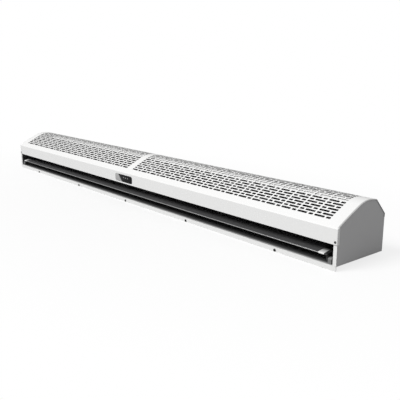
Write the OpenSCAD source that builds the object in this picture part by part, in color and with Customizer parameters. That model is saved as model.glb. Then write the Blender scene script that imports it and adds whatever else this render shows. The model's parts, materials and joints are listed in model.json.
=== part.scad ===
// Wall-mounted cross-flow air curtain, shown lying on its wall side.
// X runs along the length, -Y is the outlet side, +Z points away from the wall.
// The origin is the centre of the four wall bolts, in the plane of the wall.

/* [Housing] */
// Overall length over both ends
unit_len = 1800; // [1600:10:2000]
// Depth from the outlet side to the back
unit_depth = 187; // [184:1:195]
// Height of the base over the wall, filled by the wall plate
wall_gap = 11; // [10:0.5:14]
// Height of the outlet, from the base to the lower edge of the fascia
outlet_h = 52.5; // [51:0.5:56]
// Height of the crease between fascia and slanted intake
crease_z = 91.5; // [89:0.5:95]
// Thickness of the cover sheet
cover_t = 1.2; // [0.8:0.1:1.5]
// Thickness of the base sheet
base_t = 1.5; // [1:0.1:2]
// Thickness of the end plates and duct cheeks
end_t = 1.2; // [0.8:0.1:1.5]
// Radius of the gently curved slant
slant_r = 885; // [800:5:1000]
// Slope of the slant at the crease
crease_slope = 31; // [30:0.5:32]
// Slope of the slant where the top bend starts
upper_slope = 25; // [24:0.5:26]
// Radius of the top bend
top_r = 85; // [80:1:90]
// Downward slope of the flat behind the top bend
ridge_slope = 8; // [7:0.5:9]
// Length of the flat behind the top bend
ridge_len = 17.9; // [15:0.1:20]
// Radius of the bend between the flat and the rear chamfer
corner_r = 3.5; // [2:0.5:5]
// Downward slope of the rear chamfer
rear_slope = 46.4; // [45:0.1:48]
// Overlap of the cover on the back wall
rear_lap = 10; // [8:0.5:12]

/* [Intake slots] */
// Length of a long slot
slot_long = 30; // [26:1:34]
// Length of a short slot
slot_short = 13; // [10:1:15]
// Width of the web between two slots of a row
slot_web = 5; // [4:0.5:7]
// Width of every slot
slot_w = 5.2; // [4:0.1:6]
// Distance from one row to the next
row_pitch = 10.3; // [9.8:0.1:10.8]
// Rows from the crease to the rear bend
front_rows = 13; // [3:1:13]
// Distance of the first row from the crease
first_row = 27; // [24:0.5:28]
// Rows on the rear chamfer
rear_rows = 4; // [1:1:4]
// Distance of the first rear row from the rear bend
rear_first = 12; // [10:0.5:13]
// Width of the plain strip in the middle
middle_strip = 34.2; // [20:0.2:60]
// Least plain margin at each end
end_margin = 38; // [30:1:80]

/* [Outlet] */
// Width of the front flange at each end of the outlet
strip_w = 10; // [9.5:0.5:11]
// Width of the air vane blade
vane_chord = 56; // [50:1:58]
// Height of the vane's front edge over the base
vane_front_z = 23; // [21:0.5:25]
// Rise of the vane's rear edge over its front edge
vane_rise = 5.8; // [3:0.2:7]
// Length of a moulded vane end cap
cap_len = 20; // [15:1:30]
// Radius of a vane pivot pin
vane_pin_r = 3; // [2.5:0.1:3.5]

/* [Fan] */
// Radius over the blades of a fan wheel
wheel_r = 52; // [48:0.5:53]
// Radial depth of a fan blade
blade_depth = 9; // [8:0.5:11]
// Blades in a fan wheel
blade_count = 30; // [24:1:34]
// Stiffening rings in a fan wheel
ring_count = 6; // [3:1:8]
// Radius of the motor
motor_r = 40; // [36:0.5:42]
// Length of the motor's core
motor_len = 84; // [70:1:96]
// Radius of the motor shaft
shaft_r = 6; // [5:0.25:7]
// Radius of a wheel's outer axle
axle_r = 5; // [4:0.25:6]

/* [Display] */
// Width of the display window
window_w = 107; // [80:1:120]
// Height of the display window
window_h = 26; // [20:0.5:27]
// Sideways place of the window's centre
window_x = -8.5; // [-60:0.5:60]
// Corner radius of the window
window_r = 3.5; // [2:0.5:5]

/* [Mounting] */
// Distance between the wall bolts along the length
bolt_gap_x = 1400; // [1000:10:1500]
// Distance between the wall bolts across the unit
bolt_gap_y = 100; // [80:5:110]
// Radius of a wall bolt hole
bolt_hole_r = 4.5; // [3.5:0.25:5.5]
// Thickness of the wall plate
wall_plate_t = 2; // [1.5:0.1:3]

/* [Hidden] */
$fn = 64;

// Shared clearances and overruns
seat = 0.3;
fit = 0.02;
run_fit = 0.05;
over = 2;

// Place of the outlet side ahead of the origin
bolt_front = 55;
front_y = bolt_front + bolt_gap_y / 2;
half_len = unit_len / 2;
cheek_x = half_len - strip_w;
duct_half = cheek_x - seat;

// The cover's outer line, in distances from the outlet side and from the base
function arc_end(p, r, a, b) = p + r * [sin(a) - sin(b), cos(b) - cos(a)];
function along(p, d, a) = p + d * [cos(a), sin(a)];
crease = [0, crease_z];
slant_end = arc_end(crease, slant_r, crease_slope, upper_slope);
bend_end = arc_end(slant_end, top_r, upper_slope, -ridge_slope);
flat_end = along(bend_end, ridge_len, -ridge_slope);
corner_end = arc_end(flat_end, corner_r, -ridge_slope, -rear_slope);
chamfer_len = (unit_depth - corner_end[0]) / cos(rear_slope);
rear_corner = along(corner_end, chamfer_len, -rear_slope);
degree_arc = PI / 180;
slant_len = slant_r * (crease_slope - upper_slope) * degree_arc;
bend_len = top_r * (upper_slope + ridge_slope) * degree_arc;
corner_tangent = corner_r * tan((rear_slope - ridge_slope) / 2);
bend_steps = 10;
corner_steps = 3;
slant_steps = ceil(slant_len / row_pitch);

// Heading and place at a distance s from the crease, up to the rear bend
function heading(s) =
  s < slant_len ? crease_slope - s / slant_r / degree_arc
  : s < slant_len + bend_len ? upper_slope - (s - slant_len) / top_r / degree_arc
  : -ridge_slope;
function place(s) =
  s < slant_len ? arc_end(crease, slant_r, crease_slope, heading(s))
  : s < slant_len + bend_len ? arc_end(slant_end, top_r, upper_slope, heading(s))
  : along(bend_end, s - slant_len - bend_len, -ridge_slope);

slant_path = [for (i = [0 : slant_steps]) place(i / slant_steps * slant_len * (1 - 1e-9))];
bend_path = [for (i = [1 : bend_steps]) place(slant_len + i / bend_steps * bend_len * (1 - 1e-9))];
corner_path = [for (i = [0 : corner_steps])
  arc_end(flat_end, corner_r, -ridge_slope,
    -ridge_slope - (rear_slope - ridge_slope) * i / corner_steps)];
roof_path = concat(slant_path, bend_path, corner_path, [rear_corner]);

// Offset of a line to its right, with mitred corners
function dirs(p) = [for (i = [0 : len(p) - 2]) (p[i + 1] - p[i]) / norm(p[i + 1] - p[i])];
function right_of(d) = [d[1], -d[0]];
function inset(p, t) =
  let (d = dirs(p), m = len(p) - 1)
  [for (i = [0 : m])
    let (a = right_of(d[max(i - 1, 0)]), b = right_of(d[min(i, m - 1)]))
    p[i] + t * (a + b) / (1 + a * b)];
function backwards(p) = [for (i = [len(p) - 1 : -1 : 0]) p[i]];
function band(p, t) = concat(p, backwards(inset(p, t)));
// The roof line at a distance t inside the cover's outer faces, with a round or a sharp rear bend
sharp_path = concat(slant_path, bend_path, [along(flat_end, corner_tangent, -ridge_slope), rear_corner]);
function inside(p, t) = [for (q = inset(p, t)) [min(max(q[0], t), unit_depth - t), q[1]]];

// Solids that run along X from an outline, and places given from the outlet side and the base
module run(x0, x1) {
  translate([x0, -front_y, wall_gap])
    rotate([90, 0, 90])
      linear_extrude(x1 - x0)
        children();
}
module at(x, y, z) {
  translate([x, y - front_y, wall_gap + z])
    children();
}
module rod(x0, x1, p, r) {
  at(x0, p[0], p[1])
    rotate([0, 90, 0])
      cylinder(r = r, h = x1 - x0);
}
module both_ends() {
  children();
  mirror([1, 0, 0])
    children();
}
module box(x0, x1, y0, y1, z0, z1) {
  at(x0, y0, z0)
    cube([x1 - x0, y1 - y0, z1 - z0]);
}
// Pin or hole along Y, from y0 to y1
module bore_y(x, z, y0, y1, r) {
  at(x, y0, z)
    rotate([-90, 0, 0])
      cylinder(r = r, h = y1 - y0);
}

// Cover
screw_r = 1.5;
hem = 7;
rim_w = 3;
return_w = 8;
fascia_screw_in = 6;
fascia_screw_up = 6.5;
fascia_screw_x = half_len - fascia_screw_in;
fascia_screw_z = outlet_h + fascia_screw_up;
lap_screw_x_shares = [-0.985, -0.45, 0, 0.45, 0.985];
lap_screw_z = rear_corner[1] - rear_lap / 2;
window_up = 17.2;
window_z = outlet_h + window_up;
cover_path = concat([[0, outlet_h]], roof_path, [rear_corner - [0, rear_lap]]);
period = slot_long + slot_short + 2 * slot_web;
half_strip = middle_strip / 2;
periods = floor((half_len - half_strip - end_margin + slot_web) / period);
slot_depth = cover_t + over;

// Cuts of the rows of one parity, in the cover's cross-section
module row_cuts(parity) {
  for (i = [parity : 2 : front_rows - 1])
    let (s = first_row + i * row_pitch)
      translate(place(s))
        rotate(heading(s))
          translate([-slot_w / 2, -slot_depth])
            square([slot_w, 2 * slot_depth]);
  for (i = [0 : rear_rows - 1])
    if ((i + front_rows) % 2 == parity)
      translate(along(corner_end, rear_first - corner_tangent + i * row_pitch, -rear_slope))
        rotate(-rear_slope)
          translate([-slot_w / 2, -slot_depth])
            square([slot_w, 2 * slot_depth]);
}
// Slots of one period: rows of one parity start with a long slot, the others with a short one
module period_cuts(x) {
  run(x, x + slot_long)
    row_cuts(0);
  run(x + slot_long + slot_web, x + slot_long + slot_web + slot_short)
    row_cuts(0);
  run(x, x + slot_short)
    row_cuts(1);
  run(x + slot_short + slot_web, x + slot_short + slot_web + slot_long)
    row_cuts(1);
}
// Cover's cross-section without slots
module cover_section() {
  polygon(band(cover_path, cover_t));
}
module rounded_plate(w, h, r, t) {
  rotate([90, 0, 0])
    linear_extrude(t) {
      square([w - 2 * r, h], center = true);
      square([w, h - 2 * r], center = true);
      for (x = [-1, 1], z = [-1, 1])
        translate([x * (w / 2 - r), z * (h / 2 - r)])
          circle(r);
    }
}
module front_cover() {
  color("white")
    difference() {
      union() {
        run(-half_len, half_len)
          cover_section();
        run(-duct_half, duct_half)
          translate([0, outlet_h])
            square([hem, cover_t]);
        both_ends()
          run(half_len - cover_t, half_len) {
            polygon(band(roof_path, rim_w));
            translate([0, outlet_h])
              square([return_w, crease_z - outlet_h]);
          }
      }
      both_ends()
        for (i = [0 : periods - 1])
          period_cuts(half_strip + i * period);
      at(window_x, slot_depth, window_z)
        rounded_plate(window_w, window_h, window_r, 2 * slot_depth);
      both_ends()
        bore_y(fascia_screw_x, fascia_screw_z, -over, cover_t + over, screw_r + seat);
      for (s = lap_screw_x_shares)
        bore_y(s * half_len, lap_screw_z, unit_depth - cover_t - over / 2, unit_depth + over, screw_r + seat);
    }
}

// Base plate with folded lip, and the back plate that stands on it
inner_len = half_len - cover_t - 2 * seat - end_t;
back_y = unit_depth - cover_t - seat - base_t;
back_drop = 2;
back_top = rear_corner[1] - back_drop;
back_flange = 18;
lip_r = half_len - inner_len;
lip_steps = 6;
quarter = 90;
lip_screw_x_shares = [-0.787, -0.378, 0, 0.378, 0.787];
lip_screw_z = -7;
lip_screw_r = 2;
grommet_x_share = 0.85;
grommet_z_share = 0.5;
grommet_x = grommet_x_share * half_len;
grommet_z = grommet_z_share * outlet_h;
grommet_hole_r = 9;
lap_end = rear_corner[1] - rear_lap - seat;
end_screw_z_shares = [0.2, 0.79];
flange_in = 6;
end_screw_x = inner_len - seat - flange_in / 2;
back_screw_x_shares = [-0.95, -0.6, -0.2, 0.2, 0.6, 0.95];
back_screw_y = back_y - back_flange * 2 / 3;
function corner_arc(c, r, a) = [for (i = [0 : lip_steps])
  c + r * [cos(a + i / lip_steps * quarter), sin(a + i / lip_steps * quarter)]];
module back_screw_holes() {
  for (s = back_screw_x_shares)
    at(s * half_len, back_screw_y, -over)
      cylinder(r = screw_r + fit, h = 2 * base_t + 2 * over);
}
module base_plate() {
  color("gainsboro")
    difference() {
      union() {
        run(-inner_len, inner_len)
          polygon(band([[0, -wall_gap], [0, base_t], [back_y + base_t, base_t]], base_t));
        at(0, base_t, 0)
          rotate([90, 0, 0])
            linear_extrude(base_t)
              polygon(concat(
                [[half_len, -seat], [-half_len, -seat]],
                corner_arc([-half_len + lip_r, lip_r - wall_gap], lip_r, 2 * quarter),
                corner_arc([half_len - lip_r, lip_r - wall_gap], lip_r, 3 * quarter)));
      }
      for (s = lip_screw_x_shares)
        bore_y(s * half_len, lip_screw_z, -over, base_t + over, lip_screw_r + seat);
      back_screw_holes();
    }
}
module back_plate() {
  color("gainsboro")
    difference() {
      union() {
        run(-inner_len, inner_len)
          translate([back_y, base_t])
            square([base_t, back_top - base_t]);
        run(-duct_half, duct_half)
          translate([back_y - back_flange, base_t])
            square([back_flange + base_t / 2, base_t]);
      }
      for (s = lap_screw_x_shares)
        bore_y(s * half_len, lap_screw_z, back_y - over, back_y + base_t + over, screw_r + seat);
      both_ends()
        for (s = end_screw_z_shares)
          bore_y(end_screw_x, s * lap_end, back_y - over, back_y + base_t + over, screw_r + seat);
      bore_y(grommet_x, grommet_z, back_y - over, back_y + base_t + over, grommet_hole_r);
      back_screw_holes();
    }
}
module back_screws() {
  color("silver")
    for (s = back_screw_x_shares)
      at(s * half_len, back_screw_y, 0) {
        translate([0, 0, -seat])
          cylinder(r = screw_r, h = 2 * base_t + screw_r);
        translate([0, 0, 2 * base_t])
          cylinder(r = 2 * screw_r, h = screw_r);
      }
}

// Wall plate, a shallow tray that is bolted to the wall
tray_in = 50;
tray_front = base_t + seat;
tray_back = back_y - base_t;
module wall_plate() {
  color("silver")
    difference() {
      run(-half_len + tray_in, half_len - tray_in)
        polygon(band([
          [tray_front + wall_plate_t + over, -seat],
          [tray_front, -seat],
          [tray_front, -wall_gap],
          [tray_back, -wall_gap],
          [tray_back, -seat],
          [tray_back - hem, -seat]], -wall_plate_t));
      for (x = [-1, 1], y = [-1, 1])
        translate([x * bolt_gap_x / 2, y * bolt_gap_y / 2, -over])
          cylinder(r = bolt_hole_r, h = wall_plate_t + 2 * over);
      for (s = lip_screw_x_shares)
        bore_y(s * half_len, lip_screw_z, tray_front - over, tray_front + wall_plate_t + over, lip_screw_r + fit);
    }
}

// Round-headed screw along Y, with the head on the side of -Y
module screw_y(x, z, y_seat, head_r, head_t, r, len) {
  bore_y(x, z, y_seat - head_t, y_seat, head_r);
  bore_y(x, z, y_seat - head_t / 2, y_seat + len, r);
}
module lip_screws() {
  color("black")
    for (s = lip_screw_x_shares)
      screw_y(s * half_len, lip_screw_z, 0, 1.9 * lip_screw_r, lip_screw_r, lip_screw_r, 4 * lip_screw_r);
}
module fascia_screws() {
  color("dimgray")
    both_ends()
      screw_y(fascia_screw_x, fascia_screw_z, 0, 2 * screw_r, screw_r, screw_r, 4 * screw_r);
}
module screw_back(x, z, y_seat) {
  bore_y(x, z, y_seat, y_seat + screw_r, 2 * screw_r);
  bore_y(x, z, y_seat - 4 * screw_r, y_seat + screw_r / 2, screw_r);
}
module lap_screws() {
  color("silver")
    for (s = lap_screw_x_shares)
      screw_back(s * half_len, lap_screw_z, unit_depth);
}
module end_plate_screws() {
  color("silver")
    both_ends()
      for (s = end_screw_z_shares)
        screw_back(end_screw_x, s * lap_end, back_y + base_t);
}

// End plates
plate_x1 = half_len - cover_t - seat;
plate_x0 = plate_x1 - end_t;
plate_line = concat(
  [[cover_t + seat, 0]],
  inside(roof_path, cover_t + seat),
  [[unit_depth - cover_t - seat, lap_end], [unit_depth, lap_end], [unit_depth, 0]]);
module end_plate() {
  color("darkgray")
    difference() {
      union() {
        run(plate_x0, plate_x1)
          polygon(plate_line);
        box(plate_x0 - flange_in, plate_x0 + end_t / 2, cover_t + seat, cover_t + seat + end_t,
          outlet_h + cover_t + seat, crease_z - cover_t - seat);
        box(plate_x0 - flange_in, plate_x0 + end_t / 2, back_y - seat - end_t, back_y - seat,
          base_t + seat, back_top);
      }
      bore_y(fascia_screw_x, fascia_screw_z, 0, cover_t + end_t + over, screw_r + fit);
      for (s = end_screw_z_shares)
        bore_y(end_screw_x, s * lap_end, back_y - end_t - over, back_y + over, screw_r + fit);
    }
}
module right_end_plate() {
  end_plate();
}
module left_end_plate() {
  mirror([1, 0, 0])
    end_plate();
}

// Fan axis, and the duct cheeks that carry it
fan_depth_share = 110 / 187;
fan_height = 78;
fan_axis = [fan_depth_share * unit_depth, fan_height];
bearing_r = 11;
bearing_len = 8;
bush_r = 16;
bush_len = 10;
bush_flange = 2;
cheek_gap = 3;
cheek_back = back_y - end_t - 2 * seat;
module duct_cheek() {
  color("whitesmoke")
    difference() {
      union() {
        run(cheek_x, cheek_x + end_t)
          polygon(concat(
            [[0, base_t + seat], [0, outlet_h - seat], [cover_t + cheek_gap, outlet_h - seat]],
            [for (p = inside(sharp_path, cover_t + cheek_gap)) [min(p[0], cheek_back), p[1]]],
            [[cheek_back, base_t + seat]]));
        run(cheek_x + end_t / 2, half_len)
          translate([0, base_t + seat])
            square([end_t, outlet_h - base_t - 2 * seat]);
      }
      rod(cheek_x - over, cheek_x + end_t + over, fan_axis, bush_r);
    }
}
module right_duct_cheek() {
  duct_cheek();
}
module left_duct_cheek() {
  mirror([1, 0, 0])
    duct_cheek();
}

// Bearings in rubber bushes, held in the cheeks
bush_x = cheek_x + end_t / 2;
module bearing_bush() {
  color("black")
    translate([bush_x, fan_axis[0] - front_y, fan_axis[1] + wall_gap])
      rotate([0, 90, 0])
        rotate_extrude()
          polygon([
            [bearing_r, -bush_len / 2], [bush_r + bush_flange, -bush_len / 2],
            [bush_r + bush_flange, -end_t / 2 - fit], [bush_r - fit, -end_t / 2 - fit],
            [bush_r - fit, end_t / 2 + fit], [bush_r + bush_flange, end_t / 2 + fit],
            [bush_r + bush_flange, bush_len / 2], [bearing_r, bush_len / 2]]);
}
module bearing() {
  color("goldenrod")
    difference() {
      rod(bush_x - bearing_len / 2, bush_x + bearing_len / 2, fan_axis, bearing_r - fit);
      rod(bush_x - bearing_len, bush_x + bearing_len, fan_axis, axle_r + run_fit);
    }
}
module right_bearing_bush() {
  bearing_bush();
}
module left_bearing_bush() {
  mirror([1, 0, 0])
    bearing_bush();
}
module right_bearing() {
  bearing();
}
module left_bearing() {
  mirror([1, 0, 0])
    bearing();
}

// Scroll behind and under the wheels, growing from its upper lip to the floor
scroll_t = 1;
scroll_gap = 6;
scroll_screw_gap = 1.5;
scroll_lead = 8;
scroll_steps = 18;
scroll_r0 = wheel_r + scroll_gap;
scroll_r1 = fan_axis[1] - base_t - seat - scroll_t;
scroll_top = lap_screw_z - screw_r - scroll_t - scroll_screw_gap;
scroll_start = asin((scroll_top - fan_axis[1]) / scroll_r0);
scroll_turn = scroll_start + quarter;
scroll_front = vane_chord + scroll_lead;
function scroll_r(a) = scroll_r0 + (scroll_r1 - scroll_r0) * (scroll_start - a) / scroll_turn;
scroll_path = concat(
  [[back_y - seat, scroll_top]],
  [for (i = [0 : scroll_steps])
    let (a = scroll_start - scroll_turn * i / scroll_steps)
      along(fan_axis, scroll_r(a), a)],
  [[scroll_front, fan_axis[1] - scroll_r1]]);
module rear_scroll() {
  color("silver")
    run(-duct_half, duct_half)
      polygon(band(scroll_path, -scroll_t));
}

// Tongue over the outlet duct, bent up in front of the wheels
tongue_t = 1;
tongue_gap = 4;
tongue_z = outlet_h - seat - tongue_t;
tongue_lip = 8;
tongue_ramp = 16;
tongue_front = cover_t + seat + end_t / 2;
tongue_tip = along(fan_axis, -(wheel_r + tongue_gap), 31);
tongue_top = along(fan_axis, -(wheel_r + 2 * tongue_gap), 12);
shelf_y1 = tongue_tip[0] - tongue_ramp;
tongue_path = [
  [tongue_front, tongue_z], [shelf_y1, tongue_z],
  tongue_tip - [2 * tongue_t, 1.5 * tongue_t],
  tongue_tip, tongue_top, tongue_top - [tongue_lip, 0]];
module tongue_plate() {
  color("silver")
    run(-duct_half, duct_half)
      polygon(band(tongue_path, -tongue_t));
}

// Display lens, its housing and board
lens_lap = 2.5;
lens_t = 2;
lens_clear = 0.3;
module display_lens() {
  color("black") {
    at(window_x, cover_t + seat + fit, window_z)
      rounded_plate(window_w - 2 * lens_clear, window_h - 2 * lens_clear, window_r, cover_t + seat);
    at(window_x, cover_t + seat + lens_t, window_z)
      rounded_plate(window_w + 2 * lens_lap, window_h + 2 * lens_lap, window_r, lens_t);
  }
}
housing_y0 = cover_t + seat + lens_t;
housing_d = 11;
housing_wall = 1.6;
board_t = 1.6;
module display_housing() {
  color("dimgray")
    difference() {
      box(window_x - window_w / 2, window_x + window_w / 2, housing_y0, housing_y0 + housing_d,
        window_z - window_h / 2 + housing_wall, window_z + window_h / 2);
      box(window_x - window_w / 2 + housing_wall, window_x + window_w / 2 - housing_wall,
        housing_y0 - over, housing_y0 + housing_d - housing_wall,
        window_z - window_h / 2 + 2 * housing_wall, window_z + window_h / 2 - housing_wall);
    }
}
module display_board() {
  color("darkgreen")
    box(window_x - window_w / 2 + housing_wall + seat, window_x + window_w / 2 - housing_wall - seat,
      housing_y0 + housing_d / 2, housing_y0 + housing_d / 2 + board_t,
      window_z - window_h / 2 + 2 * housing_wall + seat, window_z + window_h / 2 - housing_wall - seat);
}

// Motor with a shaft out of both ends
shield_len = 12;
boss_r = 14;
boss_len = 5;
shield_hole_count = 8;
shield_rim_share = 0.85;
shield_hole_share = 0.62;
motor_half = motor_len / 2;
shield_end = motor_half + shield_len + boss_len;
module motor_core() {
  color("dimgray")
    difference() {
      rod(-motor_half, motor_half, fan_axis, motor_r - boss_len / 4);
      rod(-motor_half - over, motor_half + over, fan_axis, shaft_r + run_fit);
    }
}
module motor_shield() {
  color("silver")
    difference() {
      translate([motor_half, fan_axis[0] - front_y, fan_axis[1] + wall_gap])
        rotate([0, 90, 0])
          rotate_extrude()
            polygon([
              [0, 0], [motor_r, 0], [motor_r, shield_len / 3], [motor_r * shield_rim_share, shield_len],
              [boss_r + boss_len, shield_len], [boss_r, shield_len + boss_len], [0, shield_len + boss_len]]);
      rod(motor_half - over, shield_end + over, fan_axis, shaft_r + run_fit);
      for (i = [0 : shield_hole_count - 1])
        at(motor_half + shield_len / 2, fan_axis[0], fan_axis[1])
          rotate([i * 360 / shield_hole_count, 0, 0])
            translate([0, 0, motor_r * shield_hole_share])
              rotate([0, 90, 0])
                cylinder(r = motor_r / 8, h = shield_len + boss_len);
    }
}
module right_motor_shield() {
  motor_shield();
}
module left_motor_shield() {
  mirror([1, 0, 0])
    motor_shield();
}

// Strap round the motor, standing on the floor of the scroll
strap_w = 14;
strap_t = 2;
strap_r0 = motor_r - boss_len / 4 + fit;
foot_w = 44;
foot_share = 0.8;
foot_y0 = fan_axis[0] - motor_r * foot_share;
foot_y1 = fan_axis[0] - seat;
foot_z = fan_axis[1] - scroll_r1 + seat;
module motor_strap() {
  color("gainsboro") {
    difference() {
      union() {
        rod(-strap_w / 2, strap_w / 2, fan_axis, strap_r0 + strap_t);
        box(-strap_w / 2, strap_w / 2, foot_y0, foot_y1, foot_z, fan_axis[1] - motor_r / 2);
      }
      rod(-strap_w, strap_w, fan_axis, strap_r0);
    }
    box(-foot_w / 2, foot_w / 2, foot_y0, foot_y1, foot_z, foot_z + strap_t);
  }
}

// Rotor: shaft, two wheels, their axles and hub screws
hub_r = 12;
hub_len = 24;
wheel_gap = 14;
hub_gap = 5;
wheel_end_gap = 12;
wheel_x0 = shield_end + wheel_gap;
hub_x0 = shield_end + hub_gap;
shaft_half = hub_x0 + hub_len - over;
wheel_x1 = cheek_x - wheel_end_gap;
disc_t = 1.5;
blade_t = 1.2;
blade_r = 12;
blade_shift = 9;
axle_hub_len = 12;
axle_x0 = wheel_x1 - axle_hub_len + over;
axle_x1 = bush_x + bearing_len / 2;
wheel_in_r = wheel_r - blade_depth;
module motor_shaft() {
  color("silver")
    rod(-shaft_half, shaft_half, fan_axis, shaft_r);
}
module annulus(r1, r0) {
  difference() {
    circle(r1);
    circle(r0);
  }
}
module blade() {
  intersection() {
    translate([wheel_in_r - disc_t, blade_shift])
      annulus(blade_r, blade_r - blade_t);
    annulus(wheel_r, wheel_in_r);
    translate([wheel_in_r - blade_depth, -blade_r])
      square([2 * blade_depth + disc_t, 2 * blade_r - blade_depth / 3]);
  }
}
module wheel_run(x0, x1) {
  translate([x0, fan_axis[0] - front_y, fan_axis[1] + wall_gap])
    rotate([0, 90, 0])
      linear_extrude(x1 - x0)
        children();
}
ring_gap = (wheel_x1 - wheel_x0 - disc_t) / (ring_count + 1);
module fan_wheel() {
  color("lightgray")
    difference() {
      union() {
        wheel_run(wheel_x0 + disc_t / 2, wheel_x1 - disc_t / 2)
          for (i = [0 : blade_count - 1])
            rotate(i * 360 / blade_count)
              blade();
        for (i = [1 : ring_count])
          wheel_run(wheel_x0 + i * ring_gap, wheel_x0 + i * ring_gap + disc_t)
            annulus(wheel_r + disc_t / 2, wheel_in_r - disc_t);
        wheel_run(wheel_x0, wheel_x0 + disc_t)
          circle(wheel_r + disc_t / 2);
        wheel_run(wheel_x1 - disc_t, wheel_x1)
          circle(wheel_r + disc_t / 2);
        rod(hub_x0, hub_x0 + hub_len, fan_axis, hub_r);
        rod(wheel_x1 - axle_hub_len, wheel_x1 + over, fan_axis, hub_r - over);
      }
      rod(hub_x0 - over, hub_x0 + hub_len + over, fan_axis, shaft_r + fit);
      rod(wheel_x1 - axle_hub_len - over, wheel_x1 + 2 * over, fan_axis, axle_r + fit);
      at(hub_screw_x, fan_axis[0], fan_axis[1])
        cylinder(r = hub_screw_r + fit, h = 2 * hub_r);
    }
}
hub_screw_r = 2.5;
hub_screw_x = hub_x0 + (wheel_x0 - hub_x0) / 2;
module right_fan_wheel() {
  fan_wheel();
}
module left_fan_wheel() {
  mirror([1, 0, 0])
    fan_wheel();
}
module fan_axle() {
  color("silver")
    rod(axle_x0, axle_x1, fan_axis, axle_r);
}
module right_fan_axle() {
  fan_axle();
}
module left_fan_axle() {
  mirror([1, 0, 0])
    fan_axle();
}
module hub_screws() {
  color("dimgray")
    both_ends()
      at(hub_screw_x, fan_axis[0], fan_axis[1] + shaft_r + fit)
        cylinder(r = hub_screw_r, h = hub_r - shaft_r);
}

// Air vane: a cambered blade between two moulded caps with arms down to the pivot
pivot = [11, 10.5];
ear_r = 7;
ear_w = 10;
ear_gap = 7;
ear_x0 = cheek_x - ear_gap - ear_w;
cap_x1 = ear_x0 - seat;
arm_w = 6.4;
cap_x0 = cap_x1 - arm_w - cap_len;
vane_nose_r = 1.3;
vane_tail_r = 0.8;
cap_wall = 0.9;
vane_front = [vane_nose_r + cap_wall + seat, vane_front_z];
vane_run = vane_chord - vane_nose_r - vane_tail_r;
vane_rear = vane_front + [vane_run, vane_rise];
vane_camber = 1.2;
vane_steps = 10;
vane_dir = (vane_rear - vane_front) / norm(vane_rear - vane_front);
vane_up = [-vane_dir[1], vane_dir[0]];
function vane_mid(k) = vane_front + (vane_rear - vane_front) * k + vane_up * vane_camber * 4 * k * (1 - k);
function vane_side(g, w) = [for (i = [0 : vane_steps])
  let (k = i / vane_steps)
    vane_mid(k) + vane_up * w * (vane_nose_r + (vane_tail_r - vane_nose_r) * k + g)];
arc_steps = 8;
function vane_nose(g) = [for (i = [arc_steps - 1 : -1 : 1])
  let (a = i / arc_steps * 180)
    vane_front + (vane_nose_r + g) * (vane_up * cos(a) - vane_dir * sin(a))];
function vane_tail(g) = [for (i = [1 : arc_steps - 1])
  let (a = i / arc_steps * 180)
    vane_rear + (vane_tail_r + g) * (vane_up * cos(a) + vane_dir * sin(a))];
module vane_section(g) {
  polygon(concat(vane_side(g, 1), vane_tail(g), backwards(vane_side(g, -1)), vane_nose(g)));
}
module vane_blade() {
  color("darkgray")
    run(-cap_x0, cap_x0)
      vane_section(0);
}
arm_half = 5;
arm_root_share = 0.16;
module vane_cap() {
  color("white") {
    run(cap_x0, cap_x1)
      vane_section(cap_wall);
    run(cap_x1 - arm_w, cap_x1) {
      translate(pivot)
        circle(arm_half + over / 4);
      polygon([
        pivot - [arm_half, 0], pivot + [arm_half, 0],
        vane_mid(arm_root_share) + [arm_half, 0], vane_mid(arm_root_share) - [arm_half, 0]]);
    }
    rod(cap_x1 - arm_w / 2, ear_x0 + ear_w - seat, pivot, vane_pin_r);
  }
}
module right_vane_cap() {
  vane_cap();
}
module left_vane_cap() {
  mirror([1, 0, 0])
    vane_cap();
}

// Brackets on the outlet floor that carry the vane's pins
foot_t = 2.5;
foot_len = 16;
bracket_screw_x = ear_x0 + ear_w / 2;
bracket_screw_y = pivot[0] + ear_r + foot_len / 2;
module vane_bracket() {
  color("lightgray")
    difference() {
      union() {
        run(ear_x0, ear_x0 + ear_w) {
          translate(pivot)
            circle(ear_r);
          translate([pivot[0] - ear_r, base_t + seat])
            square([2 * ear_r, pivot[1] - base_t - seat]);
          translate([pivot[0], base_t + seat])
            square([ear_r + foot_len, foot_t]);
        }
      }
      rod(ear_x0 - over, ear_x0 + ear_w + over, pivot, vane_pin_r + run_fit);
      at(bracket_screw_x, bracket_screw_y, 0)
        cylinder(r = screw_r + fit, h = base_t + foot_t + over);
    }
}
module right_vane_bracket() {
  vane_bracket();
}
module left_vane_bracket() {
  mirror([1, 0, 0])
    vane_bracket();
}
module vane_bracket_screws() {
  color("silver")
    both_ends()
      at(bracket_screw_x, bracket_screw_y, base_t + seat) {
        cylinder(r = screw_r, h = foot_t + screw_r);
        translate([0, 0, foot_t])
          cylinder(r = 2 * screw_r, h = screw_r);
      }
}

// Electrical parts on the shelf that the tongue forms behind the fascia
shelf_z = outlet_h;
tray_x_share = 0.16;
tray_x0 = tray_x_share * half_len;
tray_len = 150;
tray_y0 = 9;
tray_w = tongue_top[0] - tongue_lip - seat - tray_y0;
tray_h = 24;
tray_wall = 2;
lid_t = 2;
chip_start_shares = [0.12, 0.32, 0.52, 0.72];
chip_len_share = 0.12;
chip_top_share = 0.7;
module control_tray() {
  color("whitesmoke")
    difference() {
      box(tray_x0, tray_x0 + tray_len, tray_y0, tray_y0 + tray_w, shelf_z, shelf_z + tray_h);
      box(tray_x0 + tray_wall, tray_x0 + tray_len - tray_wall, tray_y0 + tray_wall,
        tray_y0 + tray_w - tray_wall, shelf_z + tray_wall, shelf_z + tray_h + over);
    }
}
module control_lid() {
  color("whitesmoke")
    box(tray_x0, tray_x0 + tray_len, tray_y0, tray_y0 + tray_w,
      shelf_z + tray_h, shelf_z + tray_h + lid_t);
}
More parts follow.
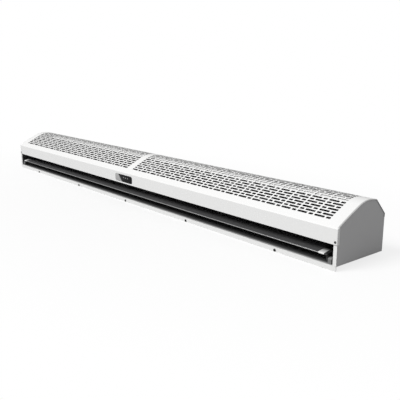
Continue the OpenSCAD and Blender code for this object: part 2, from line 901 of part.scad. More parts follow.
module control_board() {
  color("darkgreen") {
    box(tray_x0 + tray_wall + seat, tray_x0 + tray_len - tray_wall - seat, tray_y0 + tray_wall + seat,
      tray_y0 + tray_w - tray_wall - seat, shelf_z + tray_wall + seat, shelf_z + tray_wall + seat + board_t);
    for (s = chip_start_shares)
      box(tray_x0 + tray_len * s, tray_x0 + tray_len * (s + chip_len_share),
        tray_y0 + tray_w / 4, tray_y0 + tray_w * 3 / 4,
        shelf_z + tray_wall + board_t, shelf_z + tray_h * chip_top_share);
  }
}
terminal_gap = 20;
terminal_x0 = tray_x0 + tray_len + terminal_gap;
terminal_ways = 5;
terminal_pitch = 11;
terminal_w_share = 0.65;
terminal_w = terminal_w_share * tray_w;
terminal_hole_shares = [0.25, 0.75];
terminal_h = 16;
module terminal_block() {
  color("ivory")
    difference() {
      box(terminal_x0, terminal_x0 + terminal_ways * terminal_pitch, tray_y0, tray_y0 + terminal_w,
        shelf_z, shelf_z + terminal_h);
      for (i = [0 : terminal_ways - 1], s = terminal_hole_shares)
        at(terminal_x0 + (i + 1 / 2) * terminal_pitch, tray_y0 + s * terminal_w, shelf_z + terminal_h / 2)
          cylinder(r = terminal_pitch / 4, h = terminal_h);
      for (i = [1 : terminal_ways - 1])
        box(terminal_x0 + i * terminal_pitch - seat, terminal_x0 + i * terminal_pitch + seat,
          tray_y0 - over, tray_y0 + terminal_w + over, shelf_z + terminal_h * 3 / 4, shelf_z + terminal_h + over);
    }
}
can_r_share = 0.41;
can_r = can_r_share * tray_w;
can_len = 70;
can_gap = 30;
can_cap_share = 0.8;
can_x0 = terminal_x0 + terminal_ways * terminal_pitch + can_gap;
clip_w = 12;
clip_t = 1;
clip_reach = 8;
can_axis = [tray_y0 + can_r + 2 * clip_t, shelf_z + can_r + 1.5 * clip_t];
module capacitor() {
  color("silver") {
    rod(can_x0, can_x0 + can_len, can_axis, can_r);
    rod(can_x0 + can_len, can_x0 + can_len + over, can_axis, can_r * can_cap_share);
  }
}
module capacitor_clip() {
  color("dimgray")
    difference() {
      union() {
        rod(can_x0 + can_len / 2 - clip_w / 2, can_x0 + can_len / 2 + clip_w / 2, can_axis, can_r + fit + clip_t);
        box(can_x0 + can_len / 2 - clip_w / 2, can_x0 + can_len / 2 + clip_w / 2,
          can_axis[0], can_axis[0] + can_r + clip_reach, shelf_z, shelf_z + 1.2 * clip_t);
      }
      rod(can_x0 + can_len / 2 - clip_w, can_x0 + can_len / 2 + clip_w, can_axis, can_r + fit);
    }
}

// Rubber grommet in the back wall for the supply lead
grommet_in_r = 5;
grommet_lip = 3;
module cable_grommet() {
  color("black")
    at(grommet_x, back_y + base_t / 2, grommet_z)
      rotate([-90, 0, 0])
        rotate_extrude()
          polygon([
            [grommet_in_r, -base_t / 2 - grommet_lip], [grommet_hole_r + over, -base_t / 2 - grommet_lip],
            [grommet_hole_r + over, -base_t / 2 - fit], [grommet_hole_r - fit, -base_t / 2 - fit],
            [grommet_hole_r - fit, base_t / 2 + fit], [grommet_hole_r + over, base_t / 2 + fit],
            [grommet_hole_r + over, base_t / 2 + base_t], [grommet_in_r, base_t / 2 + base_t]]);
}

front_cover();
base_plate();
back_plate();
back_screws();
wall_plate();
left_end_plate();
right_end_plate();
left_duct_cheek();
right_duct_cheek();
rear_scroll();
tongue_plate();
display_lens();
display_housing();
display_board();
fascia_screws();
lip_screws();
lap_screws();
end_plate_screws();
left_bearing_bush();
right_bearing_bush();
left_bearing();
right_bearing();
motor_core();
left_motor_shield();
right_motor_shield();
motor_strap();
motor_shaft();
left_fan_wheel();
right_fan_wheel();
left_fan_axle();
right_fan_axle();
hub_screws();
vane_blade();
left_vane_cap();
right_vane_cap();
left_vane_bracket();
right_vane_bracket();
vane_bracket_screws();
control_tray();
control_lid();
control_board();
terminal_block();
capacitor();
capacitor_clip();
cable_grommet();
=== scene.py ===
import json
import math

import bpy
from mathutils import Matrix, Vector


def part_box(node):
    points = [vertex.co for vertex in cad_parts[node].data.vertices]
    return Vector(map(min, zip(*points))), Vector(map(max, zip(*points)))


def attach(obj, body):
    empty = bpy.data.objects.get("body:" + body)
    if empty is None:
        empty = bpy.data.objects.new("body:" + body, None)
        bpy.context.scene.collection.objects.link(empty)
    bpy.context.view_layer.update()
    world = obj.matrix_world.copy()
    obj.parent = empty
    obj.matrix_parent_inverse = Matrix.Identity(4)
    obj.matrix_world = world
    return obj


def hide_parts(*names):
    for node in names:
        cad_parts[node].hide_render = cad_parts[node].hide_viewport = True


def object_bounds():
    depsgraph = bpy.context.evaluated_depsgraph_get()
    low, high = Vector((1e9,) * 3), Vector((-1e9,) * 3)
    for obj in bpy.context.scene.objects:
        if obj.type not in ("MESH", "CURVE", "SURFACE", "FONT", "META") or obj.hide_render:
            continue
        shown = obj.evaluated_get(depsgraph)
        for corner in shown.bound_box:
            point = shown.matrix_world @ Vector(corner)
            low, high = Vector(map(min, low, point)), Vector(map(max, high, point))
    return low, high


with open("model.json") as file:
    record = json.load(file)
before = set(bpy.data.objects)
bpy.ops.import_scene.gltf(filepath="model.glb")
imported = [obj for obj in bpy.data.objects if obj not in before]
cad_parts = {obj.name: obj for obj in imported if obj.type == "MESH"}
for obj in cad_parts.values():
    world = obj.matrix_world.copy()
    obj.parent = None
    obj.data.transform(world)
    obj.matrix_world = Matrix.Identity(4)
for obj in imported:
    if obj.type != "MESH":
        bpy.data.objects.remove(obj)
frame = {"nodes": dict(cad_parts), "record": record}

bl_info = {
    "name": "Air curtain look",
    "version": (1, 0, 0),
    "blender": (4, 5, 0),
    "location": "3D View > Sidebar > Air curtain",
    "description": "Builds the visual pieces of a wall air curtain round its packed frame",
    "category": "Add Mesh",
}

MM = 0.001
CAD_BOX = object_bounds()
COVER_LOW, COVER_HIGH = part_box("front_cover")
LENS_LOW, LENS_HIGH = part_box("display_lens")
CHEEK_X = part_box("right_duct_cheek")[0].x
FLOOR_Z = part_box("base_plate")[1].z
VANE_LOW, VANE_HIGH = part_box("vane_blade")
# The outlet side and the underside of the base, from which depths and heights are counted
FRONT_Y = COVER_LOW.y
BASE_Z = 11 * MM


# ---------------------------------------------------------------- properties


def number(name, text, default, low=0.0, high=1000.0, **more):
    """A plain number."""
    return bpy.props.FloatProperty(name=name, description=text, default=default, min=low, max=high, **more)


def length(name, text, mm, low=0.0):
    """A length, given in millimetres and kept in metres."""
    return number(name, text, mm * MM, low, 3.0, precision=5, unit="LENGTH", subtype="DISTANCE")


def angle(name, text, degrees):
    """An angle, given in degrees and kept in radians."""
    return number(name, text, math.radians(degrees), -math.pi, math.pi, unit="ROTATION", subtype="ANGLE")


def share(name, text, default):
    """A plain number from 0 to 1."""
    return number(name, text, default, 0.0, 1.0, subtype="FACTOR")


def count(name, text, default, low=1, high=200):
    """A whole number of repeated things."""
    return bpy.props.IntProperty(name=name, description=text, default=default, min=low, max=high)


def triple(name, text, *values, **more):
    """Three numbers that belong together."""
    return bpy.props.FloatVectorProperty(name=name, description=text, default=values, size=3, **more)


def paint(name, text, *colour):
    """A colour in linear light."""
    return triple(name, text, *colour, min=0.0, max=1.0, subtype="COLOR")


class AirCurtainCoverSettings(bpy.types.PropertyGroup):
    """Sizes of the bent and slotted cover."""

    sheet: length("Sheet", "Thickness of the cover sheet", 1.2)
    outlet_height: length("Outlet height", "From the base to the lower edge of the fascia", 52.5)
    crease_height: length("Crease height", "From the base to the crease over the fascia", 91.5)
    crease_radius: length("Crease radius", "Outer radius of the small folds", 2.4)
    slant_radius: length("Slant radius", "Radius of the gently curved slant", 885)
    crease_slope: angle("Crease slope", "Slope of the slant at the crease", 31)
    upper_slope: angle("Upper slope", "Slope of the slant at the top bend", 25)
    top_radius: length("Top radius", "Radius of the top bend", 85)
    ridge_slope: angle("Ridge slope", "Downward slope behind the top bend", 8)
    ridge_length: length("Ridge length", "Length of the flat behind the top bend", 17.9)
    corner_radius: length("Corner radius", "Radius of the rear bend", 3.5)
    rear_slope: angle("Rear slope", "Downward slope of the rear chamfer", 46.4)
    rear_lap: length("Rear lap", "Overlap of the cover on the back wall", 10)
    hem: length("Hem", "Width of the fold under the fascia", 7)
    end_fold: length("End fold", "Outer radius of the fold at each end", 2.4)
    fold_steps: count("Fold steps", "Faces across an end fold", 5, 2, 12)
    side_return: length("Side return", "Width of the fascia's fold at each end", 8)
    strip: length("Outlet strip", "Width of the flange at each end of the outlet", 10.3)
    slot_long: length("Long slot", "Length of a long slot", 30)
    slot_short: length("Short slot", "Length of a short slot", 13)
    slot_web: length("Web", "Plain width between two slots of a row", 5)
    slot_width: length("Slot width", "Width of every slot", 6.4)
    slot_round: length("Slot rounding", "Corner radius of a slot", 1.4)
    row_pitch: length("Row pitch", "Distance from row to row", 10.3)
    first_row: length("First row", "Distance of the first row from the crease", 27)
    front_rows: count("Front rows", "Rows from the crease to the rear bend", 13)
    rear_first: length("Rear row", "Distance of the first rear row from the rear bend", 12)
    rear_rows: count("Rear rows", "Rows on the rear chamfer", 4)
    stiffener_row: count("Stiffener row", "First row over the strips under the cover", 8)
    stiffener_width: length("Stiffener width", "Width of the strips under the cover", 26)
    stiffener_gap: length("Stiffener gap", "Distance of the strips from the cover", 1.2)
    stiffener_left: length("Left stiffener", "Where the left strip starts", -745, -1.0)
    stiffener_right: length("Right stiffener", "Where the right strip starts", 52)
    middle_strip: length("Middle strip", "Plain strip in the middle", 34.2)
    end_margin: length("End margin", "Least plain margin at each end", 38)
    window_height: length("Window height", "Centre of the window over the base", 69.7)
    window_round: length("Window rounding", "Corner radius of the window", 7)
    window_width: length("Window width", "Width of the window", 107)
    window_depth: length("Window size", "Height of the window", 26)
    lens_gap: length("Lens gap", "Gap between the lens and the window", 0.3)
    lens_bevel: length("Lens bevel", "Width of the lens's bevelled edge", 0.5)
    lens_flange: length("Lens flange", "Thickness of the lens's flange", 2)
    marks: count("Marks", "Plain marks on the display", 3, 1, 12)
    mark_width: length("Mark width", "Width of a mark", 6.5)
    mark_height: length("Mark height", "Height of a mark", 4)
    mark_print: length("Mark print", "Thickness of a mark", 0.08)
    mark_pitch: length("Mark pitch", "Distance between marks", 12.6)
    mark_shift: length("Mark shift", "Distance of the marks from the lens's middle", 12.2)
    mark_lift: length("Mark lift", "Height of the marks over the lens's middle", 3.3)


class AirCurtainFanSettings(bpy.types.PropertyGroup):
    """Sizes of the two fan wheels."""

    axis_depth: length("Axis depth", "Fan axis behind the outlet side", 110)
    axis_height: length("Axis height", "Fan axis over the base", 78)
    radius: length("Radius", "Radius over the blades", 52)
    inner_radius: length("Inner radius", "Radius inside the blades", 43)
    blade_arc: length("Blade arc", "Radius of a blade's curve", 12)
    blade_back: length("Blade back", "Centre of a blade's curve behind the axis", 9)
    blade_thickness: length("Blade thickness", "Thickness of a blade", 1.2)
    blades: count("Blades", "Blades in a wheel", 30)
    rings: count("Rings", "Rings between the blades", 6)
    disc: length("Disc", "Thickness of the discs and rings", 1.5)
    start: length("Start", "Inner end of a wheel from the middle", 73)
    end: length("End", "Outer end of a wheel from the middle", 878)
    hub_radius: length("Hub radius", "Radius of the hub on the shaft", 12)
    hub_start: length("Hub start", "Inner end of the hub from the middle", 64)
    hub_length: length("Hub length", "Length of the hub", 24)
    boss_inside: length("Boss inside", "Depth of the outer boss in the wheel", 12)
    boss_outside: length("Boss outside", "Height of the outer boss over the wheel", 2)
    shaft_radius: length("Shaft radius", "Radius of the motor shaft", 6)
    axle_radius: length("Axle radius", "Radius of the outer axle", 5)


class AirCurtainFinishSettings(bpy.types.PropertyGroup):
    """Colours and gloss of the finishes."""

    white: paint("White paint", "Powder coat of the cover and base", 0.84, 0.84, 0.835)
    grey: paint("Grey paint", "Powder coat of the end plates", 0.58, 0.58, 0.585)
    duct: paint("Duct black", "Matt black of the inner duct", 0.045, 0.045, 0.046)
    # painted shade on the outlet's floor: the floor turns dark from its white front edge towards the inside
    shade: paint("Floor black", "Dark coat of the floor behind the outlet's edge", 0.075, 0.075, 0.076)
    vane: paint("Vane metal", "Anodised metal of the air vane", 0.36, 0.36, 0.37)
    # painted shade: this dark colour goes on the slot walls to stand for the shade inside the slots
    cut: paint("Cut edges", "Thinly coated edges of the slots", 0.08, 0.08, 0.08)
    # the fan wheels get a near-black colour, so that the inside looks dark through the slots
    wheel: paint("Wheel", "Blackened metal of the fan wheels", 0.03, 0.03, 0.032)
    # painted shade on the vane's end caps, over their rear and their arm
    cap_shade: paint("Vane arm", "Dark arm and tail of the vane's end caps", 0.02, 0.02, 0.02)
    lens: paint("Lens", "Black of the display lens", 0.006, 0.006, 0.007)
    # painted reflection: a lighter area with a slanted edge at the left of the lens
    lens_reflection: paint("Lens tint", "Lighter receiver window in the lens", 0.42, 0.42, 0.42)
    edge_tint: length("Edge tint", "Width of the grey edge at each end of the slant", 4.2)
    outlet_edge: length("Outlet edge", "Depth to which the outlet's edge stays white", 3)
    floor_fade: length("Floor fade", "Depth over which the outlet's floor turns dark", 16)
    # how far the painted shade on the vane's end caps reaches from the front, and how softly
    tip_depth: length("Cap tip", "Depth at which the vane's caps are half dark", 15)
    tip_fade: length("Cap fade", "Depth over which the vane's caps turn dark", 24)
    vane_edge: length("Vane edge", "Width of the vane's lighter front edge", 2.2)
    gloss: share("Paint gloss", "How smooth the powder coat is", 0.55)
    wear: share("Wear", "Amount of edge wear and dust", 0.15)


class AirCurtainStageSettings(bpy.types.PropertyGroup):
    """Floor, light and camera."""

    camera_place: triple(
        "Camera place", "Where the camera stands", 1.65525, -1.13585, 0.46640,
        unit="LENGTH", subtype="TRANSLATION",
    )
    camera_tilt: angle("Camera tilt", "Turn of the camera about its own X", 76.59)
    camera_turn: angle("Camera turn", "Turn of the camera about Z", 50.42)
    focal_length: number("Focal length", "Focal length of the lens in millimetres", 51.18, 10.0)
    key: number("Key light", "Strength of the soft key light", 2.78)
    key_size: angle("Key size", "Angle that the key light fills, which softens its shadows", 28)
    key_way: triple("Key way", "Way in which the key light shines", 0.35, 0.9, -1.0, subtype="XYZ")
    ambient: number("Ambient", "Level of the surrounding light", 0.35)
    floor: paint("Floor", "Colour of the floor where it lights the object", 0.4, 0.4, 0.4)
    floor_seen: paint("Floor as seen", "Colour of the floor where the camera looks at it", 0.92, 0.92, 0.92)


SETTINGS = {
    "air_curtain_cover": AirCurtainCoverSettings,
    "air_curtain_fan": AirCurtainFanSettings,
    "air_curtain_finish": AirCurtainFinishSettings,
    "air_curtain_stage": AirCurtainStageSettings,
}


# ---------------------------------------------------------------- node trees


def once(maker):
    """The maker's result, made at its first call and kept."""
    kept = []

    def get():
        if not kept:
            kept.append(maker())
        return kept[0]

    return get


def arithmetic(operation, swapped=False):
    """A method that puts a math node between two values."""
    if swapped:
        return lambda self, other: self.tree.math(operation, other, self)
    return lambda self, other: self.tree.math(operation, self, other)


class Value:
    """An output of a node, which takes part in plain arithmetic."""

    def __init__(self, tree, socket):
        self.tree, self.socket = tree, socket

    __add__ = __radd__ = arithmetic("ADD")
    __mul__ = __rmul__ = arithmetic("MULTIPLY")
    __sub__ = arithmetic("SUBTRACT")
    __rsub__ = arithmetic("SUBTRACT", swapped=True)
    __truediv__ = arithmetic("DIVIDE")
    __rtruediv__ = arithmetic("DIVIDE", swapped=True)
    __gt__ = arithmetic("GREATER_THAN")
    __lt__ = arithmetic("LESS_THAN")


class Tree:
    """A node tree with short calls that add, set and link nodes."""

    def __init__(self, tree):
        self.tree = tree

    @classmethod
    def group(cls, name, kind):
        """A new node group with its input and output nodes."""
        self = cls(bpy.data.node_groups.new(name, kind))
        self.start = self.tree.nodes.new("NodeGroupInput")
        self.end = self.tree.nodes.new("NodeGroupOutput")
        self.end.location.x = 3000
        return self

    @classmethod
    def shape(cls, name):
        """A new geometry group that takes a mesh and a material."""
        self = cls.group(name, "GeometryNodeTree")
        self.body, self.material = *self.takes("Geometry", "Geometry"), *self.takes("Material", "Material")
        return self

    def takes(self, kind, *names):
        """Adds named inputs of a kind and returns their values inside the group."""
        for name in names:
            self.tree.interface.new_socket(name=name, in_out="INPUT", socket_type="NodeSocket" + kind)
        return self.out(self.start, *names)

    def gives(self, name, kind, value):
        """Adds a named output and links a value to it."""
        self.tree.interface.new_socket(name=name, in_out="OUTPUT", socket_type="NodeSocket" + kind)
        self.fill(self.end, {name: value})

    def fill(self, made, ins):
        """Sets or links inputs of a node, by name or number."""
        for key, value in ins.items():
            for one in value if isinstance(value, list) else [value]:
                if isinstance(one, Value):
                    self.tree.links.new(one.socket, made.inputs[key])
                else:
                    made.inputs[key].default_value = one
        return made

    def node(self, kind, ins=None, **props):
        """Adds a node, sets its properties and then its inputs."""
        made = self.tree.nodes.new(kind)
        made.location = (220 * (len(self.tree.nodes) % 12), -260 * (len(self.tree.nodes) // 12))
        for key, value in props.items():
            setattr(made, key, value)
        return self.fill(made, ins or {})

    def out(self, node, *keys):
        """Outputs of a node, by name or number."""
        return [Value(self, node.outputs[key]) for key in keys]

    def get(self, kind, ins=None, out=0, **props):
        """One output of a new node."""
        return self.out(self.node(kind, ins, **props), out)[0]

    def own(self, kind):
        """The node of a kind that the tree came with."""
        return next(n for n in self.tree.nodes if n.type == kind)

    def math(self, operation, a, b=0.0):
        """The result of a math node."""
        return self.get("ShaderNodeMath", {0: a, 1: b}, operation=operation)

    def vector(self, operation, a, b=None, out=0):
        """The result of a vector math node."""
        ins = {} if b is None else {"Scale" if operation == "SCALE" else 1: b}
        return self.get("ShaderNodeVectorMath", {0: a, **ins}, out, operation=operation)

    def xyz(self, x=0.0, y=0.0, z=0.0):
        """A vector from three values."""
        return self.get("ShaderNodeCombineXYZ", {0: x, 1: y, 2: z})

    def parts(self, vector):
        """The three values of a vector."""
        return self.out(self.node("ShaderNodeSeparateXYZ", {0: vector}), 0, 1, 2)

    def place(self):
        """The place on the piece, in its own coordinates."""
        return self.get("ShaderNodeTexCoord", out="Object")

    def noise(self, place, scale, detail):
        """A noise from 0 to 1."""
        return self.get("ShaderNodeTexNoise", {"Vector": place, "Scale": scale, "Detail": detail})

    def ramp(self, value, low, high, start=0.0, end=1.0):
        """A value that runs from start to end while another runs from low to high."""
        ins = {"Value": value, "From Min": low, "From Max": high, "To Min": start, "To Max": end}
        return self.get("ShaderNodeMapRange", ins)

    def mix(self, factor, *colours):
        """A blend of two colours, given as three numbers or as a value."""
        a, b = (c if isinstance(c, Value) else (*c, 1.0) for c in colours)
        return self.get("ShaderNodeMix", {"Factor": factor, 6: a, 7: b}, 2, data_type="RGBA")

    def attribute(self, name, kind="FLOAT"):
        """A named attribute of the geometry."""
        return self.get("GeometryNodeInputNamedAttribute", {"Name": name}, data_type=kind)

    def store(self, geometry, name, value, kind="FLOAT", domain="POINT", **more):
        """The geometry with a named attribute added."""
        ins = {"Geometry": geometry, "Name": name, "Value": value, **more}
        return self.get("GeometryNodeStoreNamedAttribute", ins, data_type=kind, domain=domain)

    def part(self, geometry, name, value, domain="FACE"):
        """The part of the geometry whose whole-number attribute has a value."""
        ins = {2: self.attribute(name, "INT"), 3: value}
        same = self.get("FunctionNodeCompare", ins, data_type="INT", operation="EQUAL")
        ins = {"Geometry": geometry, "Selection": same}
        return self.get("GeometryNodeSeparateGeometry", ins, domain=domain)

    def join(self, *parts):
        """Several geometries as one."""
        return self.get("GeometryNodeJoinGeometry", {0: list(parts)})

    def line(self, points, start, step):
        """A number of points in a row."""
        return self.get("GeometryNodeMeshLine", {"Count": points, "Start Location": start, "Offset": step})

    def instances(self, points, shape, turn=(0.0, 0.0, 0.0)):
        """A shape on each point, turned by a vector of angles."""
        return self.get("GeometryNodeInstanceOnPoints", {"Points": points, "Instance": shape, "Rotation": turn})

    def finished(self, geometry):
        """Real geometry with its material, linked to the group's output."""
        real = self.get("GeometryNodeRealizeInstances", {"Geometry": geometry})
        done = self.get("GeometryNodeSetMaterial", {"Geometry": real, "Material": self.material})
        self.gives("Geometry", "Geometry", done)
        return self.tree


# One period of a row has 12 columns. Rows of kind 1 have a long slot and then a short one, rows of kind 2
# the other way round. ENDS tells which way a slot's end points move in, and OPEN which cells are open.
COLUMNS = 12.0
ENDS = ((1, 0, 0, 0, 0, 0, 0, -1, 1, 0, 0, -1), (1, 0, 0, -1, 1, 0, 0, 0, 0, 0, 0, -1))
OPEN = ((1, 1, 1, 1, 1, 1, 1, 0, 1, 1, 1, 0), (1, 1, 1, 0, 1, 1, 1, 1, 1, 1, 1, 0))
# How far a corner point moves in for a rounding of 1
ROUNDED = 1.0 - math.sqrt(0.5)
# The sheet's faces are lifted a little before they are laid on its inner side, and then welded
LIFT = 0.1 * MM
WELD = 0.01 * MM


def slotted_sheet_tree():
    """Lays a grid over a bent profile, drops the cells of its staggered slots and gives it thickness.

    Each loose point of the mesh is one row of the grid, at its place on the outer face. Its "inner" is the
    same place on the inner face, "slots" the kind of row that starts there (1, 2 or 0 for none), "edge" the
    kind whose slots end there and "pull" the way in which their corner points move in.
    """
    t = Tree.shape("Slotted sheet")
    long, short, web, rounding = t.takes("Float", "Long slot", "Short slot", "Web", "Slot rounding")
    strip, half, sheet, fold = t.takes("Float", "Half strip", "Half length", "Sheet", "End fold radius")
    fold_steps, periods = t.takes("Int", "End fold steps", "Periods")
    rows = t.part(t.body, "row", 1, "POINT")
    high = t.get("GeometryNodeAttributeDomainSize", {0: rows}, "Point Count", component="MESH")
    last = periods * COLUMNS
    wide = last + fold_steps + 1.0
    grid = t.get("GeometryNodeMeshGrid", {"Vertices X": wide * 2.0, "Vertices Y": high})

    def floor(value):
        return t.math("FLOOR", value)

    def of_row(value, kind, row):
        ins = {"Geometry": rows, "Value": value, "Index": row}
        return t.get("GeometryNodeSampleIndex", ins, data_type=kind, domain="POINT", clamp=True)

    def pick(values, index):
        switch = t.node("GeometryNodeIndexSwitch", data_type="FLOAT")
        while len(switch.index_switch_items) < len(values):
            switch.index_switch_items.new()
        return t.out(t.fill(switch, dict(enumerate([index, *values]))), 0)[0]

    def of_kind(name, row, tables, column):
        """A column's entry in the table of the row's kind, or 0 in rows of no kind."""
        kind = of_row(t.attribute(name, "INT"), "INT", row)
        one, two = (pick(table, column) * t.math("COMPARE", kind, k) for k, table in enumerate(tables, 1))
        return one + two

    # column and row of a vertex, and the column counted from the middle
    index = t.get("GeometryNodeInputIndex")
    column = floor((index + 0.5) / high)
    row = index - column * high
    right = column > wide - 0.5
    sign = right * 2.0 - 1.0
    middle = wide - 1.0
    # all of these are whole numbers, and the halves keep their comparisons clear of rounding
    from_middle = (column - middle) * sign - right
    period = floor((from_middle + 0.5) / COLUMNS)
    place = from_middle - period * COLUMNS
    end = long + short + web
    second_one, second_two = long + web, short + web
    offsets = (
        0.0, rounding, short - rounding, short,
        second_two, second_two + rounding, long - rounding, long,
        second_one, second_one + rounding, end - rounding, end,
    )
    inside = from_middle < last - 0.5
    outside = 1.0 - inside
    at = strip + period * (end + web) + pick(offsets, place)
    turned = t.math("MAXIMUM", from_middle - last, 0.0) / fold_steps * (math.pi / 2)
    # a slot's corner points move inwards, which rounds the corner
    corner = inside * of_kind("edge", row, ENDS, place)
    shift = corner * (rounding * ROUNDED)
    pull_of_row, inner_of_row = (
        of_row(t.attribute(name, "FLOAT_VECTOR"), "FLOAT_VECTOR", row) for name in ("pull", "inner")
    )
    place_of_row = of_row(t.get("GeometryNodeInputPosition"), "FLOAT_VECTOR", row)
    pull = t.vector("SCALE", pull_of_row, t.math("ABSOLUTE", corner))
    down = t.vector("NORMALIZE", t.vector("SUBTRACT", inner_of_row, place_of_row))

    def on_face(radius):
        """Place on the face that has this radius in the end fold."""
        reach = half - fold + radius * t.math("SINE", turned)
        depth = fold - radius * t.math("COSINE", turned)
        across = t.xyz(sign * (at * inside + reach * outside + shift))
        under = t.vector("ADD", place_of_row, t.vector("SCALE", down, depth))
        return t.vector("ADD", t.vector("ADD", across, pull), under)

    sheeted = t.store(grid, "inner", on_face(fold - sheet), "FLOAT_VECTOR")
    for name, value in (("column", column), ("line", row)):
        sheeted = t.store(sheeted, name, value)
    bent = t.get("GeometryNodeSetPosition", {"Geometry": sheeted, "Position": on_face(fold)})
    # a face's mean column and row tell which cell it is
    cell = floor(t.attribute("column")) - middle
    on_right = cell > 0.5
    from_mid = (cell - 1.0) * on_right + (-1.0 - cell) * (1.0 - on_right)
    which = floor(t.math("FLOORED_MODULO", from_mid + 0.25, COLUMNS))
    gone = of_kind("slots", floor(t.attribute("line")), OPEN, which)
    gone = gone * (from_mid > -0.5) * (from_mid < last - 0.5)
    outer = t.get(
        "GeometryNodeDeleteGeometry", {"Geometry": bent, "Selection": gone > 0.5}, domain="FACE", mode="ALL"
    )
    lifted = t.node(
        "GeometryNodeExtrudeMesh", {"Mesh": outer, "Offset Scale": LIFT, "Individual": False}, mode="FACES"
    )
    solid, top, side = t.out(lifted, "Mesh", "Top", "Side")
    inner = {"Selection": top, "Position": t.attribute("inner", "FLOAT_VECTOR")}
    laid = t.get("GeometryNodeSetPosition", {"Geometry": solid, **inner})
    marked = t.store(laid, "cut", 1.0, domain="FACE", Selection=side)
    back = t.get("GeometryNodeFlipFaces", {0: marked})
    whole = t.get("GeometryNodeMergeByDistance", {"Geometry": t.join(outer, back), "Distance": WELD})
    return t.finished(t.join(whole, t.part(t.body, "part", 2)))


def bladed_wheel_tree():
    """Repeats one blade round the fan axis and one ring along it, and keeps the plain parts."""
    t = Tree.shape("Bladed wheel")
    blades, rings = t.takes("Int", "Blades", "Rings")
    gap, depth, height = t.takes("Float", "Ring gap", "Axis Y", "Axis Z")
    axis = t.line(blades, t.xyz(0.0, depth, height), (0.0, 0.0, 0.0))
    turn = t.get("GeometryNodeInputIndex") * (2 * math.pi / blades)
    around = t.instances(axis, t.part(t.body, "part", 1), t.xyz(turn))
    along = t.instances(t.line(rings, t.xyz(gap, depth, height), t.xyz(gap)), t.part(t.body, "part", 2))
    return t.finished(t.join(around, along, t.part(t.body, "part", 3)))


@once
def scattered_shape_tree():
    """Puts one shape on each loose point of the mesh, turned as the point says."""
    t = Tree.shape("Shape on points")
    (spread,), (seed,) = t.takes("Float", "Turn spread"), t.takes("Int", "Seed")
    chance = t.get("FunctionNodeRandomValue", {2: 0.0, 3: spread, "Seed": seed}, 1, data_type="FLOAT")
    points, shape = t.part(t.body, "row", 1, "POINT"), t.part(t.body, "part", 1)
    placed = t.instances(points, shape, t.attribute("turn", "FLOAT_VECTOR"))
    ins = {"Instances": placed, "Rotation": t.xyz(z=chance), "Local Space": True}
    return t.finished(t.get("GeometryNodeRotateInstances", ins))


# ---------------------------------------------------------------- mesh helpers


# Face attribute "part" tells shells apart; the others belong to loose points that a tree reads
ATTRIBUTES = {
    "part": ("INT", "FACE"),
    "row": ("INT", "POINT"),
    "slots": ("INT", "POINT"),
    "edge": ("INT", "POINT"),
    "inner": ("FLOAT_VECTOR", "POINT"),
    "pull": ("FLOAT_VECTOR", "POINT"),
    "turn": ("FLOAT_VECTOR", "POINT"),
}
# What the slotted sheet's tree adds and needs no longer
TREE_ATTRIBUTES = ("column", "line")


def wall(a, b, n):
    """Faces between two rings of n points that start at a and at b."""
    return [[a + i, a + (i + 1) % n, b + (i + 1) % n, b + i] for i in range(n)]


def fans(few, many):
    """Faces between a ring of few points and a ring of many, of which each of the few gets an equal share."""
    each, faces = len(many) // len(few), []
    for q, p in enumerate(few):
        share = [many[(q * each + i) % len(many)] for i in range(each + 1)]
        faces += [[p, a, b] for a, b in zip(share, share[1:])]
        faces.append([p, share[-1], few[(q + 1) % len(few)]])
    return faces


def circle(radius, height, steps):
    """Points of a level circle round Z."""
    angles = [2 * math.pi * i / steps for i in range(steps)]
    return [(radius * math.cos(a), radius * math.sin(a), height) for a in angles]


def rounded_outline(w, h, r, steps=6):
    """Corners of a rounded rectangle, as (x, z) round its centre."""
    out = []
    for cx, cz, start in ((1, 1, 0), (-1, 1, 1), (-1, -1, 2), (1, -1, 3)):
        for i in range(steps + 1):
            a = math.pi / 2 * (start + i / steps)
            out.append((cx * (w / 2 - r) + r * math.cos(a), cz * (h / 2 - r) + r * math.sin(a)))
    return out


